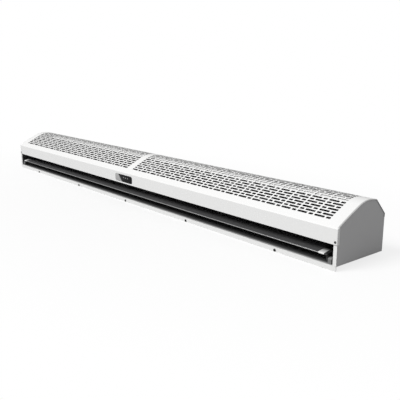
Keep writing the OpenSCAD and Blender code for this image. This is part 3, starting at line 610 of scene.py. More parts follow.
class Build:
    """Collects closed shells and loose points, with the attributes that the node trees read."""

    def __init__(self):
        self.vertices, self.faces, self.parts, self.rows = [], [], [], []

    def add(self, vertices, faces, part=1):
        """Adds a closed shell of a part, turned so that its faces look outwards."""
        near = [Vector(v) - Vector(vertices[0]) for v in vertices]
        corners = [(near[f[0]], near[f[i]], near[f[i + 1]]) for f in faces for i in range(1, len(f) - 1)]
        step = 1 if sum(a.dot(b.cross(c)) for a, b, c in corners) > 0 else -1
        base = len(self.vertices)
        self.vertices += [tuple(v) for v in vertices]
        self.faces += [[base + i for i in f[::step]] for f in faces]
        self.parts += [part] * len(faces)

    def loft(self, rings, part=1, closed=False):
        """A shell through rings of as many points each, capped at its ends or joined end to end."""
        n, last = len(rings[0]), len(rings) - 1
        faces = [f for j in range(last) for f in wall(j * n, (j + 1) * n, n)]
        if closed:
            faces += wall(last * n, 0, n)
        else:
            faces += [[*reversed(range(n))], [*range(last * n, last * n + n)]]
        self.add([p for ring in rings for p in ring], faces, part)

    def prism(self, outline, x0, x1, part=1):
        """A closed outline of (depth, height) run along X."""
        self.loft([[(x, FRONT_Y + p, BASE_Z + q) for p, q in outline] for x in (x0, x1)], part)

    def plates(self, outlines, centre, part=1):
        """A shell through outlines of (x, z) round a centre, each given with its Y."""
        self.loft([[(centre[0] + x, y, centre[1] + z) for x, z in outline] for y, outline in outlines], part)

    def lathe(self, outline, y, z, part=1, steps=72):
        """An outline of (place along X, radius) turned round a line along X."""
        angles = [2 * math.pi * i / steps for i in range(steps)]
        rings = [[(x, y + r * math.sin(a), z + r * math.cos(a)) for x, r in outline] for a in angles]
        self.loft(rings, part, closed=True)

    def point(self, place, **facts):
        """A loose point that a node tree reads, with its attributes."""
        self.rows.append((len(self.vertices), {"row": 1, **facts}))
        self.vertices.append(tuple(place))

    def object(self, name):
        """A new mesh object with all that was added."""
        mesh = bpy.data.meshes.new(name)
        mesh.from_pydata(self.vertices, [], self.faces)
        have = mesh.attributes
        for key, (kind, domain) in ATTRIBUTES.items():
            have.new(key, kind, domain)
        have["part"].data.foreach_set("value", self.parts)
        for index, facts in self.rows:
            for key, value in facts.items():
                setattr(have[key].data[index], "value" if isinstance(value, int) else "vector", value)
        mesh.update()
        return linked(name, mesh)


def linked(name, data):
    """A new object of the scene."""
    made = bpy.data.objects.new(name, data)
    bpy.context.scene.collection.objects.link(made)
    return made


def smoothed(source, smooth=30.0):
    """Drops the working attributes of a finished mesh and shades it smooth up to an angle in degrees."""
    mesh = source.data
    for name in (*ATTRIBUTES, *TREE_ATTRIBUTES):
        if name in mesh.attributes:
            mesh.attributes.remove(mesh.attributes[name])
    mesh.shade_smooth()
    mesh.set_sharp_from_angle(angle=math.radians(smooth))
    return source


def run_tree(source, tree, values, smooth=30.0):
    """Gives the object the tree, sets its inputs by name, and turns the result into a plain mesh."""
    modifier = source.modifiers.new(tree.name, "NODES")
    modifier.node_group = tree
    known = {s.name: s.identifier for s in tree.interface.items_tree if s.in_out == "INPUT"}
    for name, value in values.items():
        modifier[known[name]] = value
    bpy.context.view_layer.update()
    result = source.evaluated_get(bpy.context.evaluated_depsgraph_get())
    mesh = bpy.data.meshes.new_from_object(result)
    source.modifiers.remove(modifier)
    if len(mesh.polygons) == 0:
        raise RuntimeError(f"{tree.name} gave no faces for {source.name}")
    old, source.data = source.data, mesh
    bpy.data.meshes.remove(old)
    mesh.name = source.name
    return smoothed(source, smooth)


def plain(source, material):
    """Finishes a mesh that needs no node tree."""
    source.data.materials.append(material)
    return smoothed(source)


# ---------------------------------------------------------------- cover profile


def arc_end(p, r, a, b):
    """End of an arc of radius r that starts at p with slope a and ends with slope b."""
    return (p[0] + r * (math.sin(a) - math.sin(b)), p[1] + r * (math.cos(b) - math.cos(a)))


def along(p, d, a):
    """Point at distance d from p in direction a."""
    return (p[0] + d * math.cos(a), p[1] + d * math.sin(a))


def bend(p, r, a, b, steps):
    """(point, slope) along an arc of radius r that starts at p, from slope a to slope b."""
    slopes = [a + (b - a) * i / steps for i in range(steps + 1)]
    return [(arc_end(p, r, a, slope), slope) for slope in slopes]


def inset(path, t):
    """The path moved by t to its right, with mitred corners."""
    ways = [(Vector(b) - Vector(a)).normalized() for a, b in zip(path, path[1:])]
    out = []
    for i, p in enumerate(path):
        a, b = ways[max(i - 1, 0)], ways[min(i, len(ways) - 1)]
        k = t / (1 + a.dot(b))
        out.append((p[0] + k * (a.y + b.y), p[1] - k * (a.x + b.x)))
    return out


def band(path, t):
    """A closed outline of thickness t under a path."""
    return list(path) + list(reversed(inset(path, t)))


class Profile:
    """The cover's outer line in (depth behind the outlet side, height over the base)."""

    def __init__(self, s):
        self.s = s
        self.crease = (0.0, s.crease_height)
        self.slant_end = arc_end(self.crease, s.slant_radius, s.crease_slope, s.upper_slope)
        self.bend_end = arc_end(self.slant_end, s.top_radius, s.upper_slope, -s.ridge_slope)
        self.flat_end = along(self.bend_end, s.ridge_length, -s.ridge_slope)
        self.corner_end = arc_end(self.flat_end, s.corner_radius, -s.ridge_slope, -s.rear_slope)
        self.chamfer = (COVER_HIGH.y - FRONT_Y - self.corner_end[0]) / math.cos(s.rear_slope)
        self.rear = along(self.corner_end, self.chamfer, -s.rear_slope)
        self.slant_len = s.slant_radius * (s.crease_slope - s.upper_slope)
        self.bend_len = s.top_radius * (s.upper_slope + s.ridge_slope)

    def at(self, d):
        """(point, slope) at a distance from the crease, up to the rear bend."""
        s, rest = self.s, d - self.slant_len
        if rest < 0:
            slope = s.crease_slope - d / s.slant_radius
            return arc_end(self.crease, s.slant_radius, s.crease_slope, slope), slope
        if rest < self.bend_len:
            slope = s.upper_slope - rest / s.top_radius
            return arc_end(self.slant_end, s.top_radius, s.upper_slope, slope), slope
        return along(self.bend_end, rest - self.bend_len, -s.ridge_slope), -s.ridge_slope

    def fold(self, before, corner, after):
        """(point, slope) along a small fold with the crease radius."""
        r = self.s.crease_radius
        first, last = (math.atan2(q[1] - p[1], q[0] - p[0]) for p, q in ((before, corner), (corner, after)))
        return bend(along(corner, -r * math.tan((first - last) / 2), first), r, first, last, steps=5)

    def stations(self):
        """Rows of the cover's grid as (point, slope, slots, edge, pull)."""
        s = self.s
        w, r = s.slot_width / 2, s.slot_round
        marks = ((-w, 1, 1, r * ROUNDED), (r - w, 1, 0, 0.0), (w - r, 1, 0, 0.0), (w, 0, 1, -r * ROUNDED))
        out = []

        def bare(places):
            out.extend((*place, 0, 0, 0.0) for place in places)

        def run(first, rows, end, at, parity):
            # plain rows on the way to the first row of slots
            bare(at((first - w - r) * k) for k in (0.35, 0.7, 1.0))
            for i in range(rows):
                kind = 1 + (i + parity) % 2
                row = first + i * s.row_pitch
                out.extend((*at(row + d), kind * slots, kind * edge, way) for d, slots, edge, way in marks)
                if row + s.row_pitch / 2 < end:
                    bare([at(row + s.row_pitch / 2)])

        bare(self.fold((0.0, s.outlet_height), self.crease, self.at(s.first_row / 2)[0]))
        run(s.first_row, s.front_rows, self.slant_len + self.bend_len + s.ridge_length, self.at, 0)
        bare(bend(self.flat_end, s.corner_radius, -s.ridge_slope, -s.rear_slope, steps=6))
        tangent = s.corner_radius * math.tan((s.rear_slope - s.ridge_slope) / 2)
        run(s.rear_first - tangent, s.rear_rows, self.chamfer - 2 * s.crease_radius,
            lambda d: (along(self.corner_end, d, -s.rear_slope), -s.rear_slope), s.front_rows)
        bottom = (self.rear[0], self.rear[1] - s.rear_lap)
        bare([*self.fold(self.corner_end, self.rear, bottom), (bottom, -math.pi / 2)])
        return out


# ---------------------------------------------------------------- materials


THIN = 0.1 * MM
EVERYWHERE = (-1.0, 1.0, THIN)
BUMP_DEPTH = 0.2 * MM
WEAR_RADIUS = 0.8 * MM
# Scale of the patches in wear and dust, and how much coarser a grain's tone is than its bumps
PATCHES = 60.0
COARSER = 90.0
EDGE_COLOUR = (0.5, 0.5, 0.5)
DUST_COLOUR = (0.62, 0.6, 0.57)


def give_surface(t, height, tone, strength, spread):
    """Gives a surface group its outputs: a normal from a height, and a value near 1 from a tone."""
    bump = t.get("ShaderNodeBump", {"Height": height, "Strength": strength, "Distance": BUMP_DEPTH})
    t.gives("Normal", "Vector", bump)
    t.gives("Level", "Float", 1.0 + (tone - 0.5) * spread)
    return t.tree


@once
def grain_group():
    """Fine bumps of a powder coat or a moulded surface, as a normal and a value near 1."""
    t = Tree.group("Fine grain", "ShaderNodeTree")
    scale, strength, spread = t.takes("Float", "Scale", "Strength", "Spread")
    place = t.place()
    return give_surface(t, t.noise(place, scale, 2.0), t.noise(place, scale / COARSER, 3.0), strength, spread)


@once
def brushed_group():
    """Long fine lines along one axis, as a normal and a value near 1."""
    t = Tree.group("Brushed lines", "ShaderNodeTree")
    (stretch,), (strength, spread) = t.takes("Vector", "Stretch"), t.takes("Float", "Strength", "Spread")
    lines = t.noise(t.vector("MULTIPLY", t.place(), stretch), 1.0, 3.0)
    return give_surface(t, lines, lines, strength, spread)


@once
def wear_group():
    """Masks of worn edges and of dust on upward faces."""
    t = Tree.group("Edge wear and dust", "ShaderNodeTree")
    radius, amount = t.takes("Float", "Radius", "Amount")
    soft = t.get("ShaderNodeBevel", {"Radius": radius}, samples=4)
    hard = t.get("ShaderNodeNewGeometry", out="Normal")
    same = t.vector("DOT_PRODUCT", soft, hard, "Value")
    patches = t.noise(t.place(), PATCHES, 4.0)
    edge = (1.0 - same) * (patches * 3.0)
    facing = t.ramp(t.parts(hard)[2], 0.6, 1.0)
    t.gives("Edge", "Float", t.get("ShaderNodeClamp", {0: edge * amount}))
    t.gives("Dust", "Float", facing * patches * amount)
    t.gives("Normal", "Vector", soft)
    return t.tree


@once
def zone_group():
    """A soft-edged box in the piece's own coordinates, the same on both sides of the middle."""
    t = Tree.group("Painted zone", "ShaderNodeTree")
    low, high, soft = t.takes("Vector", "Low", "High", "Soft")
    x, y, z = t.parts(t.place())
    place = t.xyz(t.math("ABSOLUTE", x), y, z)

    def edge(a, b):
        inside = t.vector("DIVIDE", t.vector("SUBTRACT", a, b), soft)
        for operation, level in (("ADD", 0.5), ("MAXIMUM", 0.0), ("MINIMUM", 1.0)):
            inside = t.vector(operation, inside, (level, level, level))
        return inside

    x, y, z = t.parts(t.vector("MULTIPLY", edge(place, low), edge(high, place)))
    t.gives("Mask", "Float", x * (y * z))
    return t.tree


def zone(x=EVERYWHERE, y=EVERYWHERE, z=EVERYWHERE):
    """Maker of a painted zone's mask, from the low end, the high end and the softness along each axis."""
    ins = dict(zip(("Low", "High", "Soft"), zip(x, y, z)))
    return lambda t: t.get("ShaderNodeGroup", ins, "Mask", node_tree=zone_group())


def slot_wall_shade(t):
    """Mask of the slot walls in the sheet, on which shade is painted."""
    return t.get("ShaderNodeAttribute", out="Fac", attribute_name="cut")


def either(one, two, part):
    """Maker of the larger of one mask and a share of another."""
    return lambda t: t.math("MAXIMUM", one(t), two(t) * part)


def lens_reflection_mask(t):
    """Mask of a painted reflection at the left of the lens, with a slanted edge."""
    x, _, z = t.parts(t.place())
    across = (x - LENS_LOW.x) / (LENS_HIGH.x - LENS_LOW.x)
    up = (z - LENS_LOW.z) / (LENS_HIGH.z - LENS_LOW.z)
    slant, start, end = 0.27, 0.39, 0.47
    return t.ramp(across + up * slant, start, end, 1.0, 0.0)


def grain(scale, strength, spread):
    """A grained surface for a material."""
    return grain_group, {"Scale": scale, "Strength": strength, "Spread": spread}


def brushed(*stretch):
    """A brushed surface for a material, with the lines along the axis of the smallest stretch."""
    return brushed_group, {"Stretch": stretch, "Strength": 0.12, "Spread": 0.25}


def material(name, colour, roughness, metallic, surface, wear=0.0, second=None, specular=0.5):
    """A Principled material with grain or brushed lines, worn edges and a little dust.

    A second colour comes as (colour, maker of its mask).
    """
    made = bpy.data.materials.new(name)
    made.use_nodes = True
    t = Tree(made.node_tree)
    group, ins = surface
    skin = t.node("ShaderNodeGroup", ins, node_tree=group())
    ends = t.node("ShaderNodeGroup", {"Radius": WEAR_RADIUS, "Amount": wear}, node_tree=wear_group())
    level, normal = t.out(skin, "Level", "Normal")
    edge, dust, soft = t.out(ends, "Edge", "Dust", "Normal")
    base = t.mix(second[1](t), colour, second[0]) if second else tuple(colour)
    worn = t.mix(edge, t.vector("MULTIPLY", base, level), EDGE_COLOUR)
    t.fill(t.own("BSDF_PRINCIPLED"), {
        "Base Color": t.mix(dust, worn, DUST_COLOUR), "Roughness": roughness, "Metallic": metallic,
        "Specular IOR Level": specular, "Normal": t.vector("NORMALIZE", t.vector("ADD", normal, soft)),
    })
    return made


@once
def finishes():
    """All materials of the object, by slot name of the record or by their own name."""
    s, cover = bpy.context.scene.air_curtain_finish, bpy.context.scene.air_curtain_cover
    rough = 0.75 - 0.5 * s.gloss
    inside, outlet_top = FRONT_Y + s.outlet_edge, BASE_Z + cover.outlet_height
    # painted zones, from the low end, the high end and the softness along each axis
    duct_side = zone(x=(-1.0, CHEEK_X + 0.2 * MM, THIN), y=(inside, 1.0, 2 * MM))
    # painted shade: the outlet's floor darkens softly behind its white front edge
    floor_shade_zone = zone(
        x=(-1.0, CHEEK_X - 1.5 * MM, 1.5 * MM), y=(inside, 1.0, s.floor_fade), z=(FLOOR_Z - 0.2 * MM, 1.0, THIN)
    )
    outlet_line = zone(
        x=(CHEEK_X - MM, 1.0, THIN), y=(-1.0, FRONT_Y + MM, THIN), z=(outlet_top - 1.4 * MM, 1.0, 0.4 * MM)
    )
    slant_ends = zone(
        x=(COVER_HIGH.x - s.edge_tint, 1.0, 0.8 * MM), z=(BASE_Z + cover.crease_height + 2 * MM, 1.0, 3 * MM)
    )
    # painted shade: the vane's caps stay white at their front tip and turn dark towards the rear and on the arm
    cap_tip = zone(x=(-1.0, VANE_HIGH.x + 17 * MM, 0.4 * MM), y=(-1.0, FRONT_Y + s.tip_depth, s.tip_fade))
    vane_edge = zone(x=(-1.0, VANE_HIGH.x + MM, THIN), y=(-1.0, VANE_LOW.y + s.vane_edge, 1.2 * MM))
    coat, plastic, screw = grain(700, 0.05, 0.015), grain(900, 0.06, 0.02), grain(900, 0.1, 0.1)
    rows = (
        # name, colour, roughness, metallic, surface, wear, second colour with its mask, specular
        ("white_paint", s.white, rough, 0.0, coat),
        # the cover's slot walls carry painted shade, and each end of the slant a grey edge
        ("cover_paint", s.white, rough, 0.0, coat, 0.0, (s.cut, either(slot_wall_shade, slant_ends, 0.45))),
        ("floor_paint", s.white, rough, 0.0, coat, 0.0, (s.shade, floor_shade_zone)),
        ("cheek_paint", s.white, rough, 0.0, coat, 0.0, (s.duct, either(duct_side, outlet_line, 0.7))),
        # the white caps carry painted shade on their rear and arm
        ("vane_cap", s.cap_shade, 0.45, 0.0, plastic, 0.0, ((0.8, 0.8, 0.79), cap_tip)),
        ("grey_paint", s.grey, rough, 0.0, grain(700, 0.05, 0.02), s.wear * 0.3),
        ("galvanised", (0.55, 0.56, 0.57), 0.38, 1.0, grain(260, 0.2, 0.3)),
        ("duct_black", s.duct, 0.7, 0.0, grain(500, 0.2, 0.2), s.wear * 0.2),
        ("vane_metal", s.vane, 0.35, 0.85, brushed(3, 900, 900), s.wear, ((0.5, 0.5, 0.5), vane_edge)),
        ("wheel_metal", s.wheel, 0.5, 0.4, brushed(3, 700, 700)),
        ("shaft_steel", (0.5, 0.5, 0.52), 0.25, 1.0, brushed(900, 30, 30)),
        ("motor_black", (0.03, 0.03, 0.032), 0.45, 0.0, grain(500, 0.2, 0.1), s.wear),
        ("cast_shield", (0.5, 0.51, 0.52), 0.5, 0.9, grain(600, 0.5, 0.2)),
        ("bearing_bronze", (0.42, 0.26, 0.1), 0.35, 1.0, grain(900, 0.3, 0.2)),
        ("black_rubber", (0.012, 0.012, 0.012), 0.8, 0.0, grain(600, 0.3, 0.2)),
        ("white_plastic", (0.8, 0.8, 0.79), 0.45, 0.0, plastic),
        ("grey_plastic", (0.17, 0.17, 0.17), 0.5, 0.0, grain(900, 0.1, 0.04)),
        ("mark_grey", (0.2, 0.2, 0.2), 0.3, 0.0, grain(900, 0.1, 0.02)),
        # the black lens carries a painted reflection at its left
        ("lens_black", s.lens, 0.08, 0.0, grain(40, 0.004, 0.05), 0.0, (s.lens_reflection, lens_reflection_mask), 0.2),
        ("board_green", (0.02, 0.12, 0.05), 0.4, 0.0, grain(300, 0.1, 0.5)),
        ("can_metal", (0.6, 0.6, 0.6), 0.3, 1.0, brushed(8, 500, 500)),
        ("black_screws", (0.02, 0.02, 0.02), 0.35, 0.6, screw, s.wear),
        ("dull_screws", (0.09, 0.09, 0.09), 0.5, 0.3, screw, s.wear),
        ("zinc_screws", (0.5, 0.5, 0.5), 0.35, 1.0, grain(900, 0.2, 0.2), s.wear),
    )
    return {row[0]: material(*row) for row in rows}


# ---------------------------------------------------------------- operators


# Pieces of the frame whose material differs from their slot's
OWN_FINISH = {
    "base_plate": "floor_paint", "left_duct_cheek": "cheek_paint", "right_duct_cheek": "cheek_paint",
    "left_vane_cap": "vane_cap", "right_vane_cap": "vane_cap", "fascia_screws": "dull_screws",
}


class AIRCURTAIN_OT_frame_finish(bpy.types.Operator):
    """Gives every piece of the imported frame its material"""

    bl_idname = "aircurtain.frame_finish"
    bl_label = "Finish the frame's pieces"

    def execute(self, context):
        for row in frame["record"]["subparts"]:
            piece = frame["nodes"][row["node"]]
            if not piece.material_slots:
                piece.data.materials.append(None)
            for one in piece.material_slots:
                one.material = finishes()[OWN_FINISH.get(row["node"], row["material_slot"])]
        return {"FINISHED"}


class AIRCURTAIN_OT_cover(bpy.types.Operator):
    """Builds the bent cover with its slots, window and folded edges"""

    bl_idname = "aircurtain.cover"
    bl_label = "Build the slotted cover"

    def execute(self, context):
        s = context.scene.air_curtain_cover
        profile = Profile(s)
        half = COVER_HIGH.x
        build = Build()
        stations = profile.stations()
        for p, a, slots, edge, pull in stations:
            under = along(p, s.sheet, a - math.pi / 2)
            build.point(
                self.row_frame(p), slots=slots, edge=edge, inner=self.row_frame(under),
                pull=(0.0, *along((0.0, 0.0), pull, a)),
            )
        self.fascia(build, s, half, stations[0][0][1])
        self.returns(build, s, half, profile)
        cover = build.object("cover_sheet")
        period = s.slot_long + s.slot_short + 2 * s.slot_web
        room = half - s.middle_strip / 2 - s.end_margin + s.slot_web
        # a period that fits exactly is kept
        slack = 1e-6
        run_tree(cover, slotted_sheet_tree(), {
            "Long slot": s.slot_long, "Short slot": s.slot_short, "Web": s.slot_web,
            "Slot rounding": s.slot_round, "Half strip": s.middle_strip / 2, "Half length": half,
            "Sheet": s.sheet, "End fold radius": s.end_fold, "End fold steps": s.fold_steps,
            "Periods": math.floor(room / period + slack), "Material": finishes()["cover_paint"],
        }, smooth=24.0)
        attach(cover, "housing")
        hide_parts("front_cover")
        self.stiffeners(s, profile)
        return {"FINISHED"}

    def row_frame(self, p):
        """A point of the profile in the row frame, in the middle of the length."""
        return (0.0, FRONT_Y + p[0], min(BASE_Z + p[1], COVER_HIGH.z))

    def returns(self, build, s, half, profile):
        """The hem under the fascia and the fascia's return at each end."""
        foot, skin, clear = s.outlet_height, 0.02 * MM, 0.3 * MM
        lip, inner = foot + s.sheet, half - s.strip
        build.prism([(s.sheet, foot), (s.hem, foot), (s.hem, lip), (s.sheet, lip)], -inner, inner, 2)
        under = inset([profile.at(d)[0] for d in (0.0, 2 * s.side_return)], s.sheet + clear)
        slope = (under[1][1] - under[0][1]) / (under[1][0] - under[0][0])
        side = [(p, under[0][1] + slope * (p - under[0][0])) for p in (s.end_fold, s.side_return)]
        side += [(s.side_return, foot), (s.end_fold, foot)]
        for sign in (-1, 1):
            build.prism(side, sign * (half - s.sheet), sign * (half - skin), 2)

    def stiffeners(self, s, profile):
        """Two light strips of sheet welded under the cover, seen through its upper slots."""
        build = Build()
        # the strips start half a row before the row that is named, counted from 1
        start = s.first_row + (s.stiffener_row - 1 - 0.5) * s.row_pitch
        steps = 12
        path = [profile.at(start + s.stiffener_width * i / steps)[0] for i in range(steps + 1)]
        strip = band(inset(path, s.sheet + s.stiffener_gap), s.sheet)
        build.prism(strip, s.stiffener_left, -s.middle_strip / 2, 2)
        build.prism(strip, s.stiffener_right, COVER_HIGH.x - s.end_margin, 2)
        strips = plain(build.object("cover_stiffeners"), finishes()["white_paint"])
        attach(strips, "housing")

    def fascia(self, build, s, half, top):
        """The upright front plate with the rounded window cut in it, and the fold at each of its ends."""
        low = s.outlet_height
        turns = [math.pi / 2 * (i / s.fold_steps - 1) for i in range(s.fold_steps + 1)]
        half -= s.end_fold
        bend = (half, FRONT_Y + s.end_fold)
        outer, inner = ([along(bend, r, a) for a in turns] for r in (s.end_fold, s.end_fold - s.sheet))
        for sign in (-1, 1):
            build.loft([[(sign * x, y, z + BASE_Z) for x, y in outer + inner[::-1]] for z in (low, top)], 2)
        middle = (LENS_LOW.x + LENS_HIGH.x) / 2
        window = rounded_outline(s.window_width, s.window_depth, s.window_round)
        hole = [(middle + x, s.window_height + z) for x, z in window]
        rim = [(half, top), (-half, top), (-half, low), (half, low)]
        depths = (FRONT_Y, FRONT_Y + s.sheet)
        vertices = [(x, y, z + BASE_Z) for y in depths for x, z in rim + hole]
        n, m = len(hole), 4 + len(hole)
        front = fans(range(4), range(4, m))
        back = [[m + i for i in reversed(f)] for f in front]
        build.add(vertices, front + back + wall(m + 4, 4, n) + wall(0, m, 4), 2)


class AIRCURTAIN_OT_display(bpy.types.Operator):
    """Builds the display lens with its rounded edge, and the plain marks on it"""

    bl_idname = "aircurtain.display"
    bl_label = "Build the display"

    def execute(self, context):
        s = context.scene.air_curtain_cover
        centre = ((LENS_LOW.x + LENS_HIGH.x) / 2, s.window_height + BASE_Z)
        build = Build()
        bevel, seat = s.lens_bevel, LENS_HIGH.y - s.lens_flange
        glass = []
        # how far the edge is drawn in, and how deep, as shares of the bevel
        for shy, depth in ((1.0, 0.0), (0.3, 0.3), (0.0, 1.0), (0.0, (seat - LENS_LOW.y) / bevel + 1.0)):
            y, less = LENS_LOW.y + depth * bevel, s.lens_gap + shy * bevel
            glass.append((y, rounded_outline(
                s.window_width - 2 * less, s.window_depth - 2 * less, s.window_round - less, steps=8
            )))
        build.plates(glass, centre, 2)
        width, depth = LENS_HIGH.x - LENS_LOW.x, LENS_HIGH.z - LENS_LOW.z
        flange = rounded_outline(width, depth, s.window_round, steps=8)
        build.plates([(seat, flange), (LENS_HIGH.y, flange)], centre, 2)
        lens = plain(build.object("lens_glass"), finishes()["lens_black"])
        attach(lens, "housing")
        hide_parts("display_lens")
        self.marks(s, centre)
        return {"FINISHED"}

    def marks(self, s, centre):
        """A row of plain bars, printed on the lens."""
        build = Build()
        bar = rounded_outline(s.mark_width, s.mark_height, 0.4 * s.mark_height, steps=3)
        build.plates([(-s.mark_print / 2, bar), (s.mark_print / 2, bar)], (0.0, 0.0))
        for i in range(s.marks):
            x = centre[0] + (i - (s.marks - 1) / 2) * s.mark_pitch + s.mark_shift
            build.point((x, LENS_LOW.y, centre[1] + s.mark_lift))
        marks = build.object("display_marks")
        values = {"Material": finishes()["mark_grey"], "Turn spread": 0.0, "Seed": 4}
        run_tree(marks, scattered_shape_tree(), values)
        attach(marks, "housing")


class AIRCURTAIN_OT_wheels(bpy.types.Operator):
    """Builds both fan wheels with their blades, rings, discs and hubs"""

    bl_idname = "aircurtain.wheels"
    bl_label = "Build the fan wheels"

    def execute(self, context):
        s = context.scene.air_curtain_fan
        y, z = FRONT_Y + s.axis_depth, BASE_Z + s.axis_height
        rim, root = s.radius + s.disc / 2, s.inner_radius - s.disc
        hub, bore = s.hub_radius, s.shaft_radius
        hub_end, disc_end = s.hub_start + s.hub_length, s.start + s.disc
        inner_end = [
            (s.start, rim), (s.start, hub), (s.hub_start, hub), (s.hub_start, bore),
            (hub_end, bore), (hub_end, hub), (disc_end, hub), (disc_end, rim),
        ]
        boss, low, high = 2 * s.axle_radius, s.end - s.boss_inside, s.end + s.boss_outside
        outer_end = [
            (s.end - s.disc, rim), (s.end - s.disc, boss), (low, boss), (low, s.axle_radius),
            (high, s.axle_radius), (high, boss), (s.end, boss), (s.end, rim),
        ]
        tree = bladed_wheel_tree()
        for side, name in ((1, "right_fan_wheel"), (-1, "left_fan_wheel")):
            build = Build()
            self.blade(build, s, side)
            first = s.start if side > 0 else -s.end
            build.lathe([(first, root), (first, rim), (first + s.disc, rim), (first + s.disc, root)], 0, 0, 2)
            for outline in (inner_end, outer_end):
                build.lathe([(side * x, r) for x, r in outline], y, z, 3)
            wheel = build.object(name + "_look")
            run_tree(wheel, tree, {
                "Blades": s.blades, "Rings": s.rings, "Ring gap": (s.end - s.start - s.disc) / (s.rings + 1),
                "Axis Y": y, "Axis Z": z, "Material": finishes()["wheel_metal"],
            })
            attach(wheel, "rotor")
            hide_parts(name)
        return {"FINISHED"}

    def blade(self, build, s, side):
        """One curved blade at the bottom of the wheel, round the origin."""
        steps = 9
        centre = (s.inner_radius - s.disc, s.blade_back)
        faces = []
        for r in (s.blade_arc, s.blade_arc - s.blade_thickness):
            low, high = (self.limit(centre, r, reach) for reach in (s.inner_radius, s.radius))
            faces.append([along(centre, r, low + (high - low) * i / steps) for i in range(steps + 1)])
        # the section's first coordinate points down and its second one back
        outline = [(q - FRONT_Y, -p - BASE_Z) for p, q in faces[0] + faces[1][::-1]]
        build.prism(outline, side * (s.start + s.disc / 2), side * (s.end - s.disc / 2))

    def limit(self, centre, r, reach):
        """Angle on the blade's circle at which it meets a radius round the axis, on the side of the axis."""
        d = math.hypot(*centre)
        cosine = (r * r + d * d - reach * reach) / (2 * r * d)
        return math.atan2(-centre[1], -centre[0]) + math.acos(max(-1.0, min(1.0, cosine)))


class AIRCURTAIN_OT_screws(bpy.types.Operator):
    """Builds the screw heads with their cross recesses on the frame's screw places"""

    bl_idname = "aircurtain.screws"
    bl_label = "Build the screws"

    def execute(self, context):
        for name, slot_name, axis in (
            ("lip_screws", "black_screws", (0, -1, 0)),
            ("fascia_screws", "black_screws", (0, -1, 0)),
            ("lap_screws", "zinc_screws", (0, 1, 0)),
            ("end_plate_screws", "zinc_screws", (0, 1, 0)),
            ("vane_bracket_screws", "zinc_screws", (0, 0, 1)),
            ("back_screws", "zinc_screws", (0, 0, 1)),
        ):
            places, *sizes = self.screws_of(name, axis)
            build = Build()
            self.head(build, *sizes)
            turn = Vector(axis).to_track_quat("Z", "Y").to_euler()
            for p in places:
                build.point(p, turn=tuple(turn))
            heads = build.object(name + "_look")
            finish = finishes()[OWN_FINISH.get(name, slot_name)]
            run_tree(heads, scattered_shape_tree(), {"Material": finish, "Turn spread": 3.1, "Seed": 5})
            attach(heads, "housing")
            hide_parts(name)
        return {"FINISHED"}

    def screws_of(self, name, axis):
        """Seat of each head, head radius, head height and shank length, read from the frame's own screws."""
        apart, seat_step, outer_share = 30 * MM, 0.2 * MM, 0.8
        k = [abs(c) for c in axis].index(1)
        u, v = (i for i in range(3) if i != k)
        clumps = []
        for vertex in frame["nodes"][name].data.vertices:
            p = vertex.co.copy()
            near = next((c for c in clumps if (p - c[0]).length < apart), None)
            if near is None:
                clumps.append([p])
            else:
                near.append(p)
        places = []
        for points in clumps:
            low, high = (Vector([side(p[i] for p in points) for i in range(3)]) for side in (min, max))
            bottom, top = (low[k], high[k]) if axis[k] > 0 else (high[k], low[k])
            middle = (low + high) / 2
            radius = (high[u] - low[u]) / 2
            flat = [
                p[k] for p in points if abs(p[k] - top) > seat_step
                and math.hypot(p[u] - middle[u], p[v] - middle[v]) > outer_share * radius
            ]
            middle[k] = min(flat, key=lambda z: abs(z - top)) if flat else top
            places.append(tuple(middle))
        return places, radius, abs(top - middle[k]), abs(middle[k] - bottom)

    def head(self, build, radius, height, shank):
        """A pan head with a cross recess and a plain shank, along Z from its seat at the origin."""
        steps, taper, recess = 48, 0.8, 0.35
        arm, wing, core = 0.62 * radius, 0.13 * radius, 0.5 * radius
        vertices = []
        # shares of the radius and of the height
        for r, z in ((1.0, 0.0), (1.0, 0.45), (0.93, 0.8), (0.8, 1.0)):
            vertices += circle(r * radius, z * height, steps)
        rim = len(vertices) - steps
        faces = [f for a in range(0, rim, steps) for f in wall(a, a + steps, steps)]
        cross, corner = [], [(arm, wing), (wing, wing), (wing, arm)]
        for _ in range(4):
            cross += corner
            corner = [(-y, x) for x, y in corner]
        n, top, floor = len(cross), rim + steps, rim + steps + len(cross)
        vertices += [(x, y, height) for x, y in cross]
        vertices += [(x * taper, y * taper, height * recess) for x, y in cross]
        faces += fans(range(top, floor), range(rim, top)) + wall(top, floor, n)
        faces += [[*range(floor, floor + n)], [*reversed(range(steps))]]
        build.add(vertices, faces)
        build.loft([circle(core, z, steps // 2) for z in (-shank, 0.0)])


